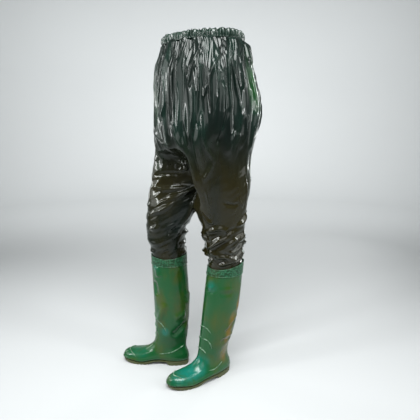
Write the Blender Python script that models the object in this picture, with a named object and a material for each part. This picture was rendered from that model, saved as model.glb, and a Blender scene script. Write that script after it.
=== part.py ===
"""Waders: film trousers with a gathered waist, joined to a pair of knee-high rubber boots."""

import math
from collections import namedtuple

import bpy

# Metres. The floor is z = 0, the toes point to -Y and the wearer's left is +X.
WAIST_RISE_SIDE = 0.004
WAIST_RISE_BACK = 0.012
WAIST_SWAY = 0.008
WAIST_SWAY_TURN = math.radians(16.0)
CASING_HEIGHT = 0.022
CASING_DEPTH = 0.011
CASING_GATHERS = 46
CASING_GATHER_DEPTH = 0.0020
FILM = 0.0008
BOOT_WALL = 0.0022
SEAT_GAP = 0.0004
SOLE_GAP = 0.0007

# The hip axis stands here, so that the box of the whole is centred over the origin.
HIP_AXIS = (-0.0019, 0.0629)

# Points round a leg and a boot, and how many of them lie along the crotch seam.
ROUND = 32
SEAM = 6
HALF = ROUND - SEAM
FRONT_INDEX = 5

# The pleats that hang from the waist.
PLEATS = 13
PLEAT_DEPTH = 0.008
PLEAT_END = 0.86

# One row per level of the trunk: height, half width across, half depth, centre ahead of the hip axis.
Trunk = namedtuple("Trunk", "z half deep ahead")
TRUNK = (
    Trunk(1.173, 0.138, 0.126, 0.014),
    Trunk(1.157, 0.152, 0.142, 0.007),
    Trunk(1.124, 0.168, 0.150, 0.008),
    Trunk(1.082, 0.182, 0.161, 0.009),
    Trunk(1.025, 0.191, 0.171, 0.004),
    Trunk(0.972, 0.195, 0.179, -0.001),
    Trunk(0.920, 0.194, 0.177, 0.003),
    Trunk(0.868, 0.190, 0.175, 0.010),
    Trunk(0.800, 0.183, 0.175, 0.015),
)

# The crotch seam: its front end, its lowest point and its back end.
CROTCH_FRONT = (-0.004, -0.088, 0.712)
CROTCH_LOW = (-0.007, -0.028, 0.668)
CROTCH_BACK = (-0.004, 0.032, 0.712)
SPREAD_START = 0.910
SEAM_DRAW = (0.50, 0.20, 0.05)
INNER_DROP = 0.030

# The hollow between the thighs: its top, the height that its upper edge takes, its foot, the
# height over which it fades there and its depth. For each half: the column up to which it is
# full, where it ends, and how far it goes round the inner leg.
HOLLOW_TOP = 0.850
HOLLOW_EDGE = 0.050
HOLLOW_FOOT = 0.640
HOLLOW_FADE = 0.090
HOLLOW_DEPTH = 0.052
Hollow = namedtuple("Hollow", "full end inner")
HOLLOWS = {"left": Hollow(5.2, 8.4, 4.0), "right": Hollow(1.0, 4.5, 4.0)}

# One row per level of a leg: height, centre across and ahead, half width, half depth.
Leg = namedtuple("Leg", "z across ahead half deep")
LEGS = {
    "left": (
        Leg(0.715, 0.068, -0.022, 0.088, 0.110),
        Leg(0.655, 0.060, -0.032, 0.082, 0.092),
        Leg(0.605, 0.054, -0.040, 0.075, 0.081),
        Leg(0.560, 0.049, -0.045, 0.069, 0.072),
        Leg(0.520, 0.045, -0.049, 0.069, 0.073),
        Leg(0.478, 0.040, -0.053, 0.066, 0.067),
    ),
    "right": (
        Leg(0.715, -0.082, 0.078, 0.088, 0.110),
        Leg(0.655, -0.088, 0.105, 0.083, 0.095),
        Leg(0.605, -0.092, 0.120, 0.077, 0.085),
        Leg(0.562, -0.096, 0.130, 0.071, 0.076),
        Leg(0.523, -0.098, 0.133, 0.068, 0.070),
        Leg(0.487, -0.099, 0.134, 0.065, 0.066),
    ),
}

# Where each boot stands from the hip axis, how far its toe turns, and how its shaft leans and slumps.
Stand = namedtuple("Stand", "sign x y turn_deg lean_side lean_ahead rim")
STANDS = {
    "left": Stand(1, 0.028, 0.024, 19.0, 0.022, -0.028, 0.434),
    "right": Stand(-1, -0.093, -0.115, -25.0, 0.003, 0.012, 0.444),
}
RIM = 0.415
ANKLE = 0.120

# One row per ring of the boot, sole to rim, each measured ahead of the shaft's axis:
# front end, its height, height at the sides, back end, its height, half width,
# where the widest place is from back to front, squareness of toe and heel,
# step of the wall, how closely it follows the dip of the tread.
Ring = namedtuple("Ring", "front front_z side_z back back_z half widest toe_n heel_n step hug")
BOOT = (
    Ring(0.1950, 0.0150, 0.0185, -0.0585, 0.0170, 0.0415, 0.66, 2.20, 2.50, 0.0000, 1.0),
    Ring(0.2005, 0.0200, 0.0255, -0.0625, 0.0260, 0.0452, 0.66, 2.20, 2.45, 0.0010, 1.0),
    Ring(0.2012, 0.0258, 0.0310, -0.0590, 0.0500, 0.0460, 0.65, 2.15, 2.40, 0.0012, 0.8),
    Ring(0.2010, 0.0271, 0.0324, -0.0582, 0.0521, 0.0460, 0.65, 2.15, 2.40, 0.0000, 0.8),
    Ring(0.1950, 0.0390, 0.0390, -0.0540, 0.0660, 0.0442, 0.63, 2.10, 2.30, 0.0000, 0.6),
    Ring(0.1820, 0.0465, 0.0460, -0.0525, 0.0790, 0.0408, 0.60, 2.05, 2.20, 0.0000, 0.3),
    Ring(0.1580, 0.0485, 0.0550, -0.0530, 0.0920, 0.0375, 0.56, 2.00, 2.10, 0.0000, 0.1),
    Ring(0.1280, 0.0520, 0.0660, -0.0550, 0.1050, 0.0358, 0.52, 2.00, 2.05, 0.0000, 0.0),
    Ring(0.1010, 0.0630, 0.0800, -0.0575, 0.1190, 0.0360, 0.50, 2.00, 2.00, 0.0000, 0.0),
    Ring(0.0815, 0.0790, 0.0980, -0.0600, 0.1360, 0.0382, 0.50, 2.00, 2.00, 0.0000, 0.0),
    Ring(0.0715, 0.1050, 0.1250, -0.0640, 0.1580, 0.0450, 0.50, 2.00, 2.00, 0.0000, 0.0),
    Ring(0.0680, 0.1520, 0.1680, -0.0675, 0.1880, 0.0525, 0.50, 2.00, 2.00, 0.0000, 0.0),
    Ring(0.0670, 0.2250, 0.2300, -0.0705, 0.2400, 0.0585, 0.50, 2.00, 2.00, 0.0000, 0.0),
    Ring(0.0670, 0.3050, 0.3070, -0.0705, 0.3100, 0.0610, 0.50, 2.00, 2.00, 0.0000, 0.0),
    Ring(0.0670, 0.3850, 0.3850, -0.0685, 0.3850, 0.0615, 0.50, 2.00, 2.00, 0.0000, 0.0),
    Ring(0.0670, 0.3870, 0.3870, -0.0685, 0.3870, 0.0615, 0.50, 2.00, 2.00, 0.0008, 0.0),
    Ring(0.0670, 0.4150, 0.4150, -0.0690, 0.4150, 0.0620, 0.50, 2.00, 2.00, 0.0008, 0.0),
)
TREAD_DIP = 0.0075
TREAD_DIP_AT = 0.120
TREAD_DIP_SPAN = 0.036
TOE_SWING = 0.011
ARCH_IN = 0.009
ARCH_AT = 0.048
ARCH_SPAN = 0.036

# The sole: how far its edge stands out, the raised welt along its top, the underside and its bars.
SOLE_EDGE = 0.0030
WELT = 0.0036
WELT_STEP = 0.0014
HEEL_BREAST = 0.008
TREAD_START = 0.104
SPRING_START = 0.138
TOE_SPRING = 0.0085
ARCH_LIFT = 0.0115
GROOVE = 0.0030
GROOVES = (-0.0430, -0.0270, -0.0110, 0.1130, 0.1270, 0.1410, 0.1550, 0.1690)
GROOVE_WIDTH = 0.0046
INSOLE = 0.0028


def material(name, colour, roughness):
    """A plain surface."""
    made = bpy.data.materials.new(name)
    made.use_nodes = True
    shader = made.node_tree.nodes["Principled BSDF"]
    shader.inputs["Base Color"].default_value = (*colour, 1.0)
    shader.inputs["Roughness"].default_value = roughness
    return made


def solid(name, points, faces, surface, parent=None):
    """An object from points and faces, shaded smooth."""
    mesh = bpy.data.meshes.new(name)
    mesh.from_pydata(points, [], faces)
    mesh.materials.append(surface)
    mesh.polygons.foreach_set("use_smooth", [True] * len(mesh.polygons))
    made = bpy.data.objects.new(name, mesh)
    made.parent = parent
    bpy.context.collection.objects.link(made)
    return made


def wall(made, thickness):
    """Gives an open skin its thickness, on the inside."""
    skin = made.modifiers.new("wall", "SOLIDIFY")
    skin.thickness = thickness
    skin.offset = -1.0


def mirrored(points, faces, sign):
    """The left-hand piece as it is, or its mirror image for the right."""
    if sign > 0:
        return points, faces
    return [(-x, y, z) for x, y, z in points], [face[::-1] for face in faces]


def bend(front, middle, back, along):
    """A smooth curve through three values, along running from 0 at the back to 1 at the front."""
    return (
        back * (1 - along) * (1 - 2 * along)
        + 4 * middle * along * (1 - along)
        + front * along * (2 * along - 1)
    )


def foot_line(ahead, side, z):
    """Curves a place of the left boot inward at the toe and under the arch."""
    swing = TOE_SWING * max(0.0, (ahead - 0.02) / 0.17) ** 2
    low = max(0.0, 1 - max(0.0, z - 0.016) / 0.05)
    arch = ARCH_IN * low * math.exp(-(((ahead - ARCH_AT) / ARCH_SPAN) ** 2)) if side < 0 else 0.0
    fade = max(0.0, 1 - max(0.0, z - 0.06) / 0.05)
    return side + arch - swing * fade


def tread_dip(ahead):
    """How far the foot drops under the ball."""
    return TREAD_DIP * math.exp(-(((ahead - TREAD_DIP_AT) / TREAD_DIP_SPAN) ** 2))


def lifted(z, stand):
    """A height of the shaft, taken to the rim height of one boot."""
    return z if z < ANKLE else ANKLE + (z - ANKLE) * (stand.rim - ANKLE) / (RIM - ANKLE)


def boot_ring(row, stand, inset=0.0):
    """A ring of the left boot: from the toe, by the outer side and the heel, to the inner side."""
    out = row.step - inset
    front, back, half = row.front + out, row.back - out, row.half + out
    wide = back + row.widest * (front - back)
    ring = []
    for i in range(ROUND):
        turn = 2 * math.pi * i / ROUND
        c, s = math.cos(turn), math.sin(turn)
        power = 2 / (row.toe_n if c > 0 else row.heel_n)
        ahead = wide + ((front if c > 0 else back) - wide) * abs(c) ** power
        side = math.copysign(half * abs(s) ** power, s)
        along = (ahead - back) / (front - back)
        z = bend(row.front_z, row.side_z, row.back_z, along) - row.hug * tread_dip(ahead)
        side = foot_line(ahead, side, z)
        z = lifted(z, stand)
        rise = max(0.0, z - ANKLE) / (stand.rim - ANKLE)
        ring.append((side + stand.lean_side * rise, -ahead - stand.lean_ahead * rise, z))
    return ring


def skin(rings):
    """Faces between closed rings of equal count that rise from first to last."""
    n = len(rings[0])
    faces = []
    for k in range(len(rings) - 1):
        for i in range(n):
            j = (i + 1) % n
            faces.append((k * n + i, k * n + j, (k + 1) * n + j, (k + 1) * n + i))
    return [point for ring in rings for point in ring], faces


def outline(ahead, grow):
    """The outer and inner edges of the foot's outline at one place along it."""
    row = BOOT[0]
    front, back, half = row.front + grow, row.back - grow, row.half + grow
    wide = back + row.widest * (front - back)
    reach, power = (front - wide, row.toe_n) if ahead > wide else (back - wide, row.heel_n)
    part = min(1.0, (ahead - wide) / reach)
    side = half * max(0.0, 1 - part**power) ** (1 / power)
    return foot_line(ahead, side, 0.0), foot_line(ahead, -side, 0.0)


def seat(ahead):
    """Height of the top of the sole."""
    row = BOOT[0]
    along = min(1.0, max(0.0, (ahead - row.back) / (row.front - row.back)))
    return bend(row.front_z, row.side_z, row.back_z, along) - tread_dip(ahead) - SOLE_GAP


def smooth(x):
    """An even step from 0 to 1."""
    x = min(1.0, max(0.0, x))
    return x * x * (3 - 2 * x)


def underside(ahead):
    """Height of the face that the sole stands on: flat heel, raised arch, flat tread, toe spring."""
    arch = smooth((ahead - HEEL_BREAST) / 0.014) * smooth((TREAD_START - ahead) / 0.034)
    spring = max(0.0, (ahead - SPRING_START) / 0.062) ** 1.6
    return ARCH_LIFT * arch + TOE_SPRING * spring


def spaced(front, back, count):
    """Places along the foot, closer together toward both ends."""
    return [
        (front + back) / 2 + (front - back) / 2 * math.cos(math.pi * k / (count - 1))
        for k in range(count)
    ]


def sole_places(front, back):
    """Places along the sole: its outline, the heel breast and both walls of every groove."""
    places = [
        place
        for place in spaced(front, back, 17)
        if all(abs(place - groove) > GROOVE_WIDTH for groove in GROOVES)
    ]
    for groove in GROOVES:
        for off in (-0.5, -0.34, 0.34, 0.5):
            places.append(groove + off * GROOVE_WIDTH)
    places += [HEEL_BREAST, HEEL_BREAST + 0.006, HEEL_BREAST + 0.014, TREAD_START - 0.034]
    places += [TREAD_START - 0.016, TREAD_START]
    return sorted(places, reverse=True)


def strip(sections):
    """Faces along a row of equal closed sections, with both ends closed."""
    n = len(sections[0])
    points, faces = skin(sections)
    last = (len(sections) - 1) * n
    faces.append(tuple(range(n))[::-1])
    faces.append(tuple(last + i for i in range(n)))
    return points, [face[::-1] for face in faces]


def outsole():
    """The left sole: flat top, welt along its upper edge, bars across heel and tread."""
    front, back = BOOT[0].front + SOLE_EDGE, BOOT[0].back - SOLE_EDGE
    sections = []
    for ahead in sole_places(front - 0.0006, back + 0.0006):
        outer, inner = outline(ahead, SOLE_EDGE)
        top, low = seat(ahead), underside(ahead)
        if any(abs(ahead - groove) < 0.4 * GROOVE_WIDTH for groove in GROOVES):
            low += GROOVE
        step = min(WELT_STEP, 0.3 * (outer - inner))
        middle = (outer + inner) / 2
        sections.append(
            [
                (inner, -ahead, top),
                (inner, -ahead, top - WELT),
                (inner + step, -ahead, top - WELT - 0.0008),
                (inner + 1.3 * step, -ahead, low),
                (middle, -ahead, low),
                (outer - 1.3 * step, -ahead, low),
                (outer - step, -ahead, top - WELT - 0.0008),
                (outer, -ahead, top - WELT),
                (outer, -ahead, top),
                (middle, -ahead, top),
            ]
        )
    return strip(sections)


def insole():
    """The left insole, lying on the sole inside the upper."""
    grow = -BOOT_WALL - 0.0012
    front, back = BOOT[0].front + grow, BOOT[0].back - grow
    sections = []
    for ahead in spaced(front - 0.0006, back + 0.0006, 18):
        outer, inner = outline(ahead, grow)
        low = seat(ahead) + SEAT_GAP
        sections.append(
            [
                (inner, -ahead, low),
                (outer, -ahead, low),
                (outer, -ahead, low + INSOLE),
                (inner, -ahead, low + INSOLE),
            ]
        )
    return strip(sections)


def boot(name, stand, rubber, sole, lining):
    """One boot on its own stand: upper, outsole, insole."""
    place = bpy.data.objects.new(f"boot_{name}", None)
    place.location = (HIP_AXIS[0] + stand.x, HIP_AXIS[1] + stand.y, 0.0)
    place.rotation_euler = (0.0, 0.0, math.radians(stand.turn_deg))
    bpy.context.collection.objects.link(place)
    points, faces = skin([boot_ring(row, stand) for row in BOOT])
    upper = solid(f"boot_upper_{name}", *mirrored(points, faces, stand.sign), rubber, place)
    wall(upper, BOOT_WALL)
    solid(f"outsole_{name}", *mirrored(*outsole(), stand.sign), sole, place)
    solid(f"insole_{name}", *mirrored(*insole(), stand.sign), lining, place)


def waist_rise(turn):
    """How much higher the waist is at the sides and back than in front."""
    even = WAIST_RISE_SIDE * math.sin(turn) ** 2 + WAIST_RISE_BACK * (1 - math.cos(turn)) / 2
    return even + WAIST_SWAY * math.cos(turn + WAIST_SWAY_TURN) ** 2


def trunk_half(row, sign):
    """Half of a trunk ring, from the middle of the front to the middle of the back."""
    top, end = TRUNK[0].z, PLEAT_END
    hang = smooth((row.z - end) / 0.16) * (0.55 + 0.45 * smooth((top - row.z) / 0.03))
    rise = smooth((row.z - 1.0) / (top - 1.0))
    places = []
    for j in range(HALF + 1):
        turn = math.pi * j / HALF
        index = j if sign > 0 else 2 * HALF - j
        lift = rise * waist_rise(sign * turn)
        number = round(index * PLEATS / (2 * HALF)) % PLEATS
        depth = PLEAT_DEPTH * (0.65 + 0.35 * math.sin(2.4 * number))
        fold = depth * hang * math.cos(math.pi * PLEATS * index / HALF)
        half, deep = row.half + fold, row.deep + fold
        places.append(
            (
                sign * half * math.sin(turn),
                -row.ahead - deep * math.cos(turn),
                row.z + lift,
            )
        )
    return places


def leg_ring(row, sign):
    """A ring of a leg, starting on the inner front, round by the outer side."""
    ring = []
    for i in range(ROUND):
        turn = 2 * math.pi * (i - FRONT_INDEX) / ROUND
        ring.append(
            (
                row.across + sign * row.half * math.sin(turn),
                -row.ahead - row.deep * math.cos(turn),
                row.z,
            )
        )
    return ring


def boot_side_ring(row, stand, inset, z):
    """A ring of a leg that follows the boot, taken from the boot's stand to the hip axis."""
    angle = math.radians(stand.turn_deg)
    c, s = math.cos(angle), math.sin(angle)
    ring = []
    for i in range(ROUND):
        x, y, _ = boot_ring(row, stand, inset)[(i - FRONT_INDEX) % ROUND]
        x *= stand.sign
        ring.append((stand.x + c * x - s * y, stand.y + s * x + c * y, z))
    return ring


def mixed(a, b, share):
    """A place part of the way from one to the other."""
    return tuple(p + (q - p) * share for p, q in zip(a, b))


def between(before, start, end, after):
    """The place half way along a smooth curve through four places."""
    return tuple((9 * (p + q) - o - r) / 16 for o, p, q, r in zip(before, start, end, after))


def crotch_half(row, sign):
    """The outer part of the ring where a leg leaves the trunk, drawn to both ends of the seam."""
    ring = leg_ring(row, sign)
    places = []
    for j in range(HALF + 1):
        to_front = max(0.0, 1 - j / FRONT_INDEX) ** 1.4
        to_back = max(0.0, 1 - (HALF - j) / FRONT_INDEX) ** 1.4
        places.append(mixed(mixed(ring[j], CROTCH_FRONT, to_front), CROTCH_BACK, to_back))
    return places


def spread(place, end):
    """A place of the trunk, drawn toward the leg below it as the legs come near."""
    share = smooth((SPREAD_START - place[2]) / (SPREAD_START - end[2]))
    return mixed(place, (end[0], end[1], place[2]), share)


def eased(ring, above, share):
    """A leg ring whose inner side is drawn toward the seam above it and hangs lower there."""
    places = []
    for i, (place, top) in enumerate(zip(ring, above)):
        inner = max(0.0, -math.sin(2 * math.pi * (i - FRONT_INDEX) / ROUND))
        x, y, z = mixed(place, (top[0], top[1], place[2]), share * inner)
        places.append((x, y, z - INNER_DROP * share * inner))
    return places


def seam_places():
    """Places along the crotch seam between its ends, from back to front."""
    return [
        tuple(
            bend(front, low, back, m / SEAM)
            for front, low, back in zip(CROTCH_FRONT, CROTCH_LOW, CROTCH_BACK)
        )
        for m in range(1, SEAM)
    ]


def leg_rings(name):
    """The rings of one leg below the crotch, the last two tucked into the boot."""
    stand = STANDS[name]
    rings = [leg_ring(row, stand.sign) for row in LEGS[name][1:]]
    rim_row, band_row = BOOT[-1], BOOT[-2]
    inside = BOOT_WALL + SEAT_GAP
    rings.append(boot_side_ring(rim_row, stand, 0.0030, stand.rim + 0.017))
    rings.append(boot_side_ring(rim_row, stand, inside, stand.rim))
    rings.append(boot_side_ring(band_row, stand, inside, lifted(band_row.front_z, stand)))
    return rings


def hollowed(place, column, name):
    """A place of the film, taken back where the hollow between the thighs is."""
    x, y, z = place
    column = column if column <= HALF else column - ROUND
    hollow = HOLLOWS[name]
    share = 1 - smooth((column - hollow.full) / (hollow.end - hollow.full))
    share *= smooth((column + hollow.inner) / (0.8 * hollow.inner))
    level = smooth((HOLLOW_TOP - z) / HOLLOW_EDGE) * smooth((z - HOLLOW_FOOT) / HOLLOW_FADE)
    return x, y + HOLLOW_DEPTH * share * level, z


def trousers(film):
    """Trunk and legs in one skin, joined along the crotch seam."""
    plain, points, faces = [], [], []

    def add(place, column, name):
        plain.append(place)
        points.append(hollowed(place, column, name))
        return len(points) - 1

    def band(upper, lower, sign):
        for j in range(len(upper) - 1):
            faces.append((lower[j], lower[j + 1], upper[j + 1], upper[j])[::sign])

    above = None
    last = [crotch_half(LEGS[name][0], STANDS[name].sign) for name in ("left", "right")]
    levels = [
        [
            [spread(place, end) for place, end in zip(trunk_half(row, sign), side)]
            for sign, side in zip((1, -1), last)
        ]
        for row in TRUNK
    ]
    thighs = [leg_ring(LEGS[name][1], STANDS[name].sign) for name in ("left", "right")]
    for j in (0, HALF):
        thighs[0][j] = thighs[1][j] = mixed(thighs[0][j], thighs[1][j], 0.5)
    half_way = [
        [between(*four) for four in zip(*columns)]
        for columns in zip(levels[-2], levels[-1], last, thighs)
    ]
    for left, right in [*levels, half_way, last]:
        row_left = [add(place, j, "left") for j, place in enumerate(left)]
        row_right = [add(place, j, "right") for j, place in enumerate(right) if 0 < j < HALF]
        row_right = [row_left[0], *row_right, row_left[-1]]
        if above:
            band(above[0], row_left, 1)
            band(above[1], row_right, -1)
        above = row_left, row_right
    seam = [add(place, HALF + m, "left") for m, place in enumerate(seam_places(), 1)]
    for name, outer in zip(("left", "right"), above):
        upper = [*outer, *seam, outer[0]]
        rings = leg_rings(name)
        top = [plain[i] for i in upper]
        for k, share in enumerate(SEAM_DRAW):
            rings[k] = eased(rings[k], top, share)
        for ring in rings:
            lower = [add(place, i, name) for i, place in enumerate(ring)]
            lower.append(lower[0])
            band(upper, lower, STANDS[name].sign)
            upper = lower
    made = solid("trousers", points, faces, film)
    made.location = (*HIP_AXIS, 0.0)
    wall(made, FILM)


def casing(film):
    """The gathered casing round the waist, standing on the top edge of the trousers."""
    row = TRUNK[0]
    count = 2 * CASING_GATHERS
    profile = (
        (-0.40, 0.0),
        (0.40, 0.0),
        (0.60, 0.50),
        (0.25, 1.0),
        (-0.25, 1.0),
        (-0.60, 0.50),
    )
    rings = []
    for depth, height in profile:
        ring = []
        for i in range(count):
            turn = 2 * math.pi * i / count
            gather = CASING_GATHER_DEPTH * (1 if i % 2 else -1) * smooth(height / 0.5)
            out = depth * CASING_DEPTH - FILM / 2 + (gather if depth >= 0 else 0.5 * gather)
            z = row.z + SEAT_GAP + waist_rise(turn) + height * CASING_HEIGHT + 0.5 * gather
            x, y = (row.half + out) * math.sin(turn), -row.ahead - (row.deep + out) * math.cos(turn)
            ring.append((x, y, z))
        rings.append(ring)
    points, faces = skin([*rings, rings[0]])
    first = len(points) - count
    faces = [tuple(i - first if i >= first else i for i in face) for face in faces]
    made = solid("waist_casing", points[:first], faces, film)
    made.location = (*HIP_AXIS, 0.0)


def main():
    for old in list(bpy.data.objects):
        bpy.data.objects.remove(old)
    film = material("film", (0.012, 0.028, 0.020), 0.24)
    rubber = material("boot_rubber", (0.018, 0.115, 0.055), 0.38)
    sole = material("sole_rubber", (0.070, 0.085, 0.030), 0.55)
    lining = material("insole_foam", (0.20, 0.21, 0.19), 0.80)
    for name, stand in STANDS.items():
        boot(name, stand, rubber, sole, lining)
    trousers(film)
    casing(film)


main()
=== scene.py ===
"""Looks of the waders: crumpled film trousers with a gathered waist, and moulded rubber boots."""

import math
from collections import namedtuple

import bpy
import numpy as np
from bpy.props import FloatProperty, FloatVectorProperty, IntProperty, PointerProperty
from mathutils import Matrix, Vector, noise


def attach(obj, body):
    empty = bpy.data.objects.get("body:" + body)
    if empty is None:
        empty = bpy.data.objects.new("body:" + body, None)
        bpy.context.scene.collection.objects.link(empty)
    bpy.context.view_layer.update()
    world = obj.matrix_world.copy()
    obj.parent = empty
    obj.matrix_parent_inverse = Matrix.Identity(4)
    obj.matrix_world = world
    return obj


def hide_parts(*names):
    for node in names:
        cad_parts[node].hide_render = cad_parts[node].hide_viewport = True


bl_info = {
    "name": "Waders",
    "version": (1, 0, 0),
    "blender": (4, 5, 0),
    "location": "View3D > Sidebar > Waders",
    "description": "Builds film-and-rubber waders round their packed frame",
    "category": "Object",
}

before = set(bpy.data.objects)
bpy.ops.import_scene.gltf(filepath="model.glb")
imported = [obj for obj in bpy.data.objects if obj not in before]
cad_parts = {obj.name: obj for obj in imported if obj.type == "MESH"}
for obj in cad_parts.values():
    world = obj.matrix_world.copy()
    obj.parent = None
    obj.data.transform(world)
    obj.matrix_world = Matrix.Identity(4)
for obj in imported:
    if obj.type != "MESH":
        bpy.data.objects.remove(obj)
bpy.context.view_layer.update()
BODY = "root"

# The floor is z = 0, the toes point to -Y and the wearer's left is +X. The hip axis stands here.
HIP_AXIS = np.array((-0.0019, 0.0629, 0.0))
SIDES = ("left", "right")

# Columns round a leg, and those of them along the crotch seam. The others make half the trunk. The
# front column faces ahead on a leg, and each column is divided into fine ones. Then come the steps
# down the trunk, and those from one ring of a leg to the next.
ROUND = 32
SEAM = 6
HALF = ROUND - SEAM
FRONT_COLUMN = 5
FINE = 11
TRUNK_STEP = 0.0056
LEG_STEPS = (0.0050, 0.0048, 0.0045, 0.0044, 0.0044, 0.0044, 0.0044, 0.0100)

# The trunk, level by level: height, half width across, half depth, centre ahead of the hip axis.
Trunk = namedtuple("Trunk", "z half deep ahead")
TRUNK = (
    Trunk(1.173, 0.145, 0.133, 0.014),
    Trunk(1.157, 0.153, 0.143, 0.008),
    Trunk(1.124, 0.168, 0.150, 0.008),
    Trunk(1.082, 0.182, 0.161, 0.009),
    Trunk(1.025, 0.191, 0.171, 0.004),
    Trunk(0.972, 0.195, 0.179, -0.001),
    Trunk(0.920, 0.194, 0.177, 0.003),
    Trunk(0.868, 0.190, 0.175, 0.010),
    Trunk(0.800, 0.183, 0.175, 0.015),
)

# The waist under its casing: half width and half depth, how much higher it is at the sides and at
# the back, how it sways, and the height from which the trunk starts to follow it.
WAIST_HALF = 0.138
WAIST_DEEP = 0.126
WAIST_RISE_SIDE = 0.004
WAIST_RISE_BACK = 0.012
WAIST_SWAY = 0.008
WAIST_SWAY_TURN = math.radians(16.0)
RISE_START = 1.0

# The wide pleats below the waist: number, depth, how uneven they are and how that shifts from one
# to the next, where they end and over what height they fade there. They start at a share of their
# depth and have all of it a little lower.
PLEATS = 13
PLEAT_DEPTH = 0.008
PLEAT_UNEVEN = 0.35
PLEAT_SHIFT = 2.4
PLEAT_END = 0.86
PLEAT_FADE = 0.16
PLEAT_START = 0.55
PLEAT_DEEPEN = 0.03

# The crotch seam: its front end, its lowest point and its back end. The trunk spreads to the legs
# below a height, and the upper rings of a leg are drawn to the seam and hang lower on their inner
# side. The drawing of the crotch ring to the ends of the seam falls off with a power.
CROTCH_FRONT = (-0.004, -0.088, 0.712)
CROTCH_LOW = (-0.007, -0.028, 0.668)
CROTCH_BACK = (-0.004, 0.032, 0.712)
SPREAD_START = 0.910
SEAM_DRAW = (0.50, 0.20, 0.05)
INNER_DROP = 0.030
DRAW_POWER = 1.4

# The hollow between the thighs: its top, the height that its upper edge takes, its foot, the
# height over which it fades there and its depth. For each half: the column up to which it is
# full, where it ends, and how far it goes round the inner leg.
HOLLOW_TOP = 0.850
HOLLOW_EDGE = 0.050
HOLLOW_FOOT = 0.640
HOLLOW_FADE = 0.090
HOLLOW_DEPTH = 0.052
Hollow = namedtuple("Hollow", "full end inner")
HOLLOWS = {"left": Hollow(5.2, 8.4, 4.0), "right": Hollow(1.0, 4.5, 4.0)}

# A leg, level by level: height, centre across and ahead, half width, half depth.
Leg = namedtuple("Leg", "z across ahead half deep")
LEGS = {
    "left": (
        Leg(0.715, 0.068, -0.022, 0.088, 0.110),
        Leg(0.655, 0.060, -0.032, 0.082, 0.092),
        Leg(0.605, 0.054, -0.040, 0.075, 0.081),
        Leg(0.560, 0.049, -0.045, 0.069, 0.072),
        Leg(0.520, 0.045, -0.049, 0.069, 0.073),
        Leg(0.478, 0.040, -0.053, 0.066, 0.067),
    ),
    "right": (
        Leg(0.715, -0.082, 0.078, 0.088, 0.110),
        Leg(0.655, -0.088, 0.105, 0.083, 0.095),
        Leg(0.605, -0.092, 0.120, 0.077, 0.085),
        Leg(0.562, -0.096, 0.130, 0.071, 0.076),
        Leg(0.523, -0.098, 0.133, 0.068, 0.070),
        Leg(0.487, -0.099, 0.134, 0.065, 0.066),
    ),
}

# Where each boot stands from the hip axis, how far its toe turns, how its shaft leans, its rim.
Stand = namedtuple("Stand", "sign x y turn_deg lean_side lean_ahead rim")
STANDS = {
    "left": Stand(1, 0.028, 0.024, 19.0, 0.022, -0.028, 0.434),
    "right": Stand(-1, -0.093, -0.115, -25.0, 0.003, 0.012, 0.444),
}

# How the rim of each boot waves: the turn from the toe where it stands up and by how much, the
# turn of one of its two low places and how far it sags there.
Wave = namedtuple("Wave", "peak_deg rise low_deg sag")
WAVES = {"left": Wave(140, 0.009, 55, 0.004), "right": Wave(180, 0.002, 262, 0.004)}

# The rings below are those of a boot with this rim. Above the ankle they are stretched to the rim
# of each boot.
RIM = 0.415
ANKLE = 0.120

# The boot, ring by ring from sole to rim, measured ahead of the shaft's axis: front end and its
# height, height at the sides, back end and its height, half width, widest place from back to
# front, squareness of toe and heel, how closely it follows the dip of the tread.
Ring = namedtuple("Ring", "front front_z side_z back back_z half widest toe_n heel_n hug")
BOOT = (
    Ring(0.1950, 0.0150, 0.0185, -0.0585, 0.0170, 0.0415, 0.66, 2.20, 2.50, 1.0),
    Ring(0.2005, 0.0200, 0.0255, -0.0625, 0.0260, 0.0452, 0.66, 2.20, 2.45, 1.0),
    Ring(0.2012, 0.0258, 0.0310, -0.0590, 0.0500, 0.0460, 0.65, 2.15, 2.40, 0.8),
    Ring(0.1950, 0.0390, 0.0390, -0.0540, 0.0660, 0.0442, 0.63, 2.10, 2.30, 0.6),
    Ring(0.1820, 0.0465, 0.0460, -0.0525, 0.0790, 0.0408, 0.60, 2.05, 2.20, 0.3),
    Ring(0.1580, 0.0485, 0.0550, -0.0530, 0.0920, 0.0375, 0.56, 2.00, 2.10, 0.1),
    Ring(0.1280, 0.0520, 0.0660, -0.0550, 0.1050, 0.0358, 0.52, 2.00, 2.05, 0.0),
    Ring(0.1010, 0.0630, 0.0800, -0.0575, 0.1190, 0.0360, 0.50, 2.00, 2.00, 0.0),
    Ring(0.0815, 0.0790, 0.0980, -0.0600, 0.1360, 0.0382, 0.50, 2.00, 2.00, 0.0),
    Ring(0.0715, 0.1050, 0.1250, -0.0640, 0.1580, 0.0450, 0.50, 2.00, 2.00, 0.0),
    Ring(0.0680, 0.1520, 0.1680, -0.0675, 0.1880, 0.0525, 0.50, 2.00, 2.00, 0.0),
    Ring(0.0670, 0.2250, 0.2300, -0.0705, 0.2400, 0.0585, 0.50, 2.00, 2.00, 0.0),
    Ring(0.0670, 0.3050, 0.3070, -0.0705, 0.3100, 0.0610, 0.50, 2.00, 2.00, 0.0),
    Ring(0.0670, 0.3850, 0.3850, -0.0685, 0.3850, 0.0615, 0.50, 2.00, 2.00, 0.0),
    Ring(0.0670, 0.4150, 0.4150, -0.0690, 0.4150, 0.0620, 0.50, 2.00, 2.00, 0.0),
)

# Points round a boot, and the step from one round of them to the next.
BOOT_ROUND = 192
BOOT_STEP = 0.0026

# The ring where the foot guard ends and the one where the weld band starts, how far each stands
# out, and how soft their edges are.
GUARD_RING = 2
BAND_RING = 13
GUARD_STEP = 0.0012
BAND_STEP = 0.0008
STEP_EDGE = 0.0030

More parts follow.
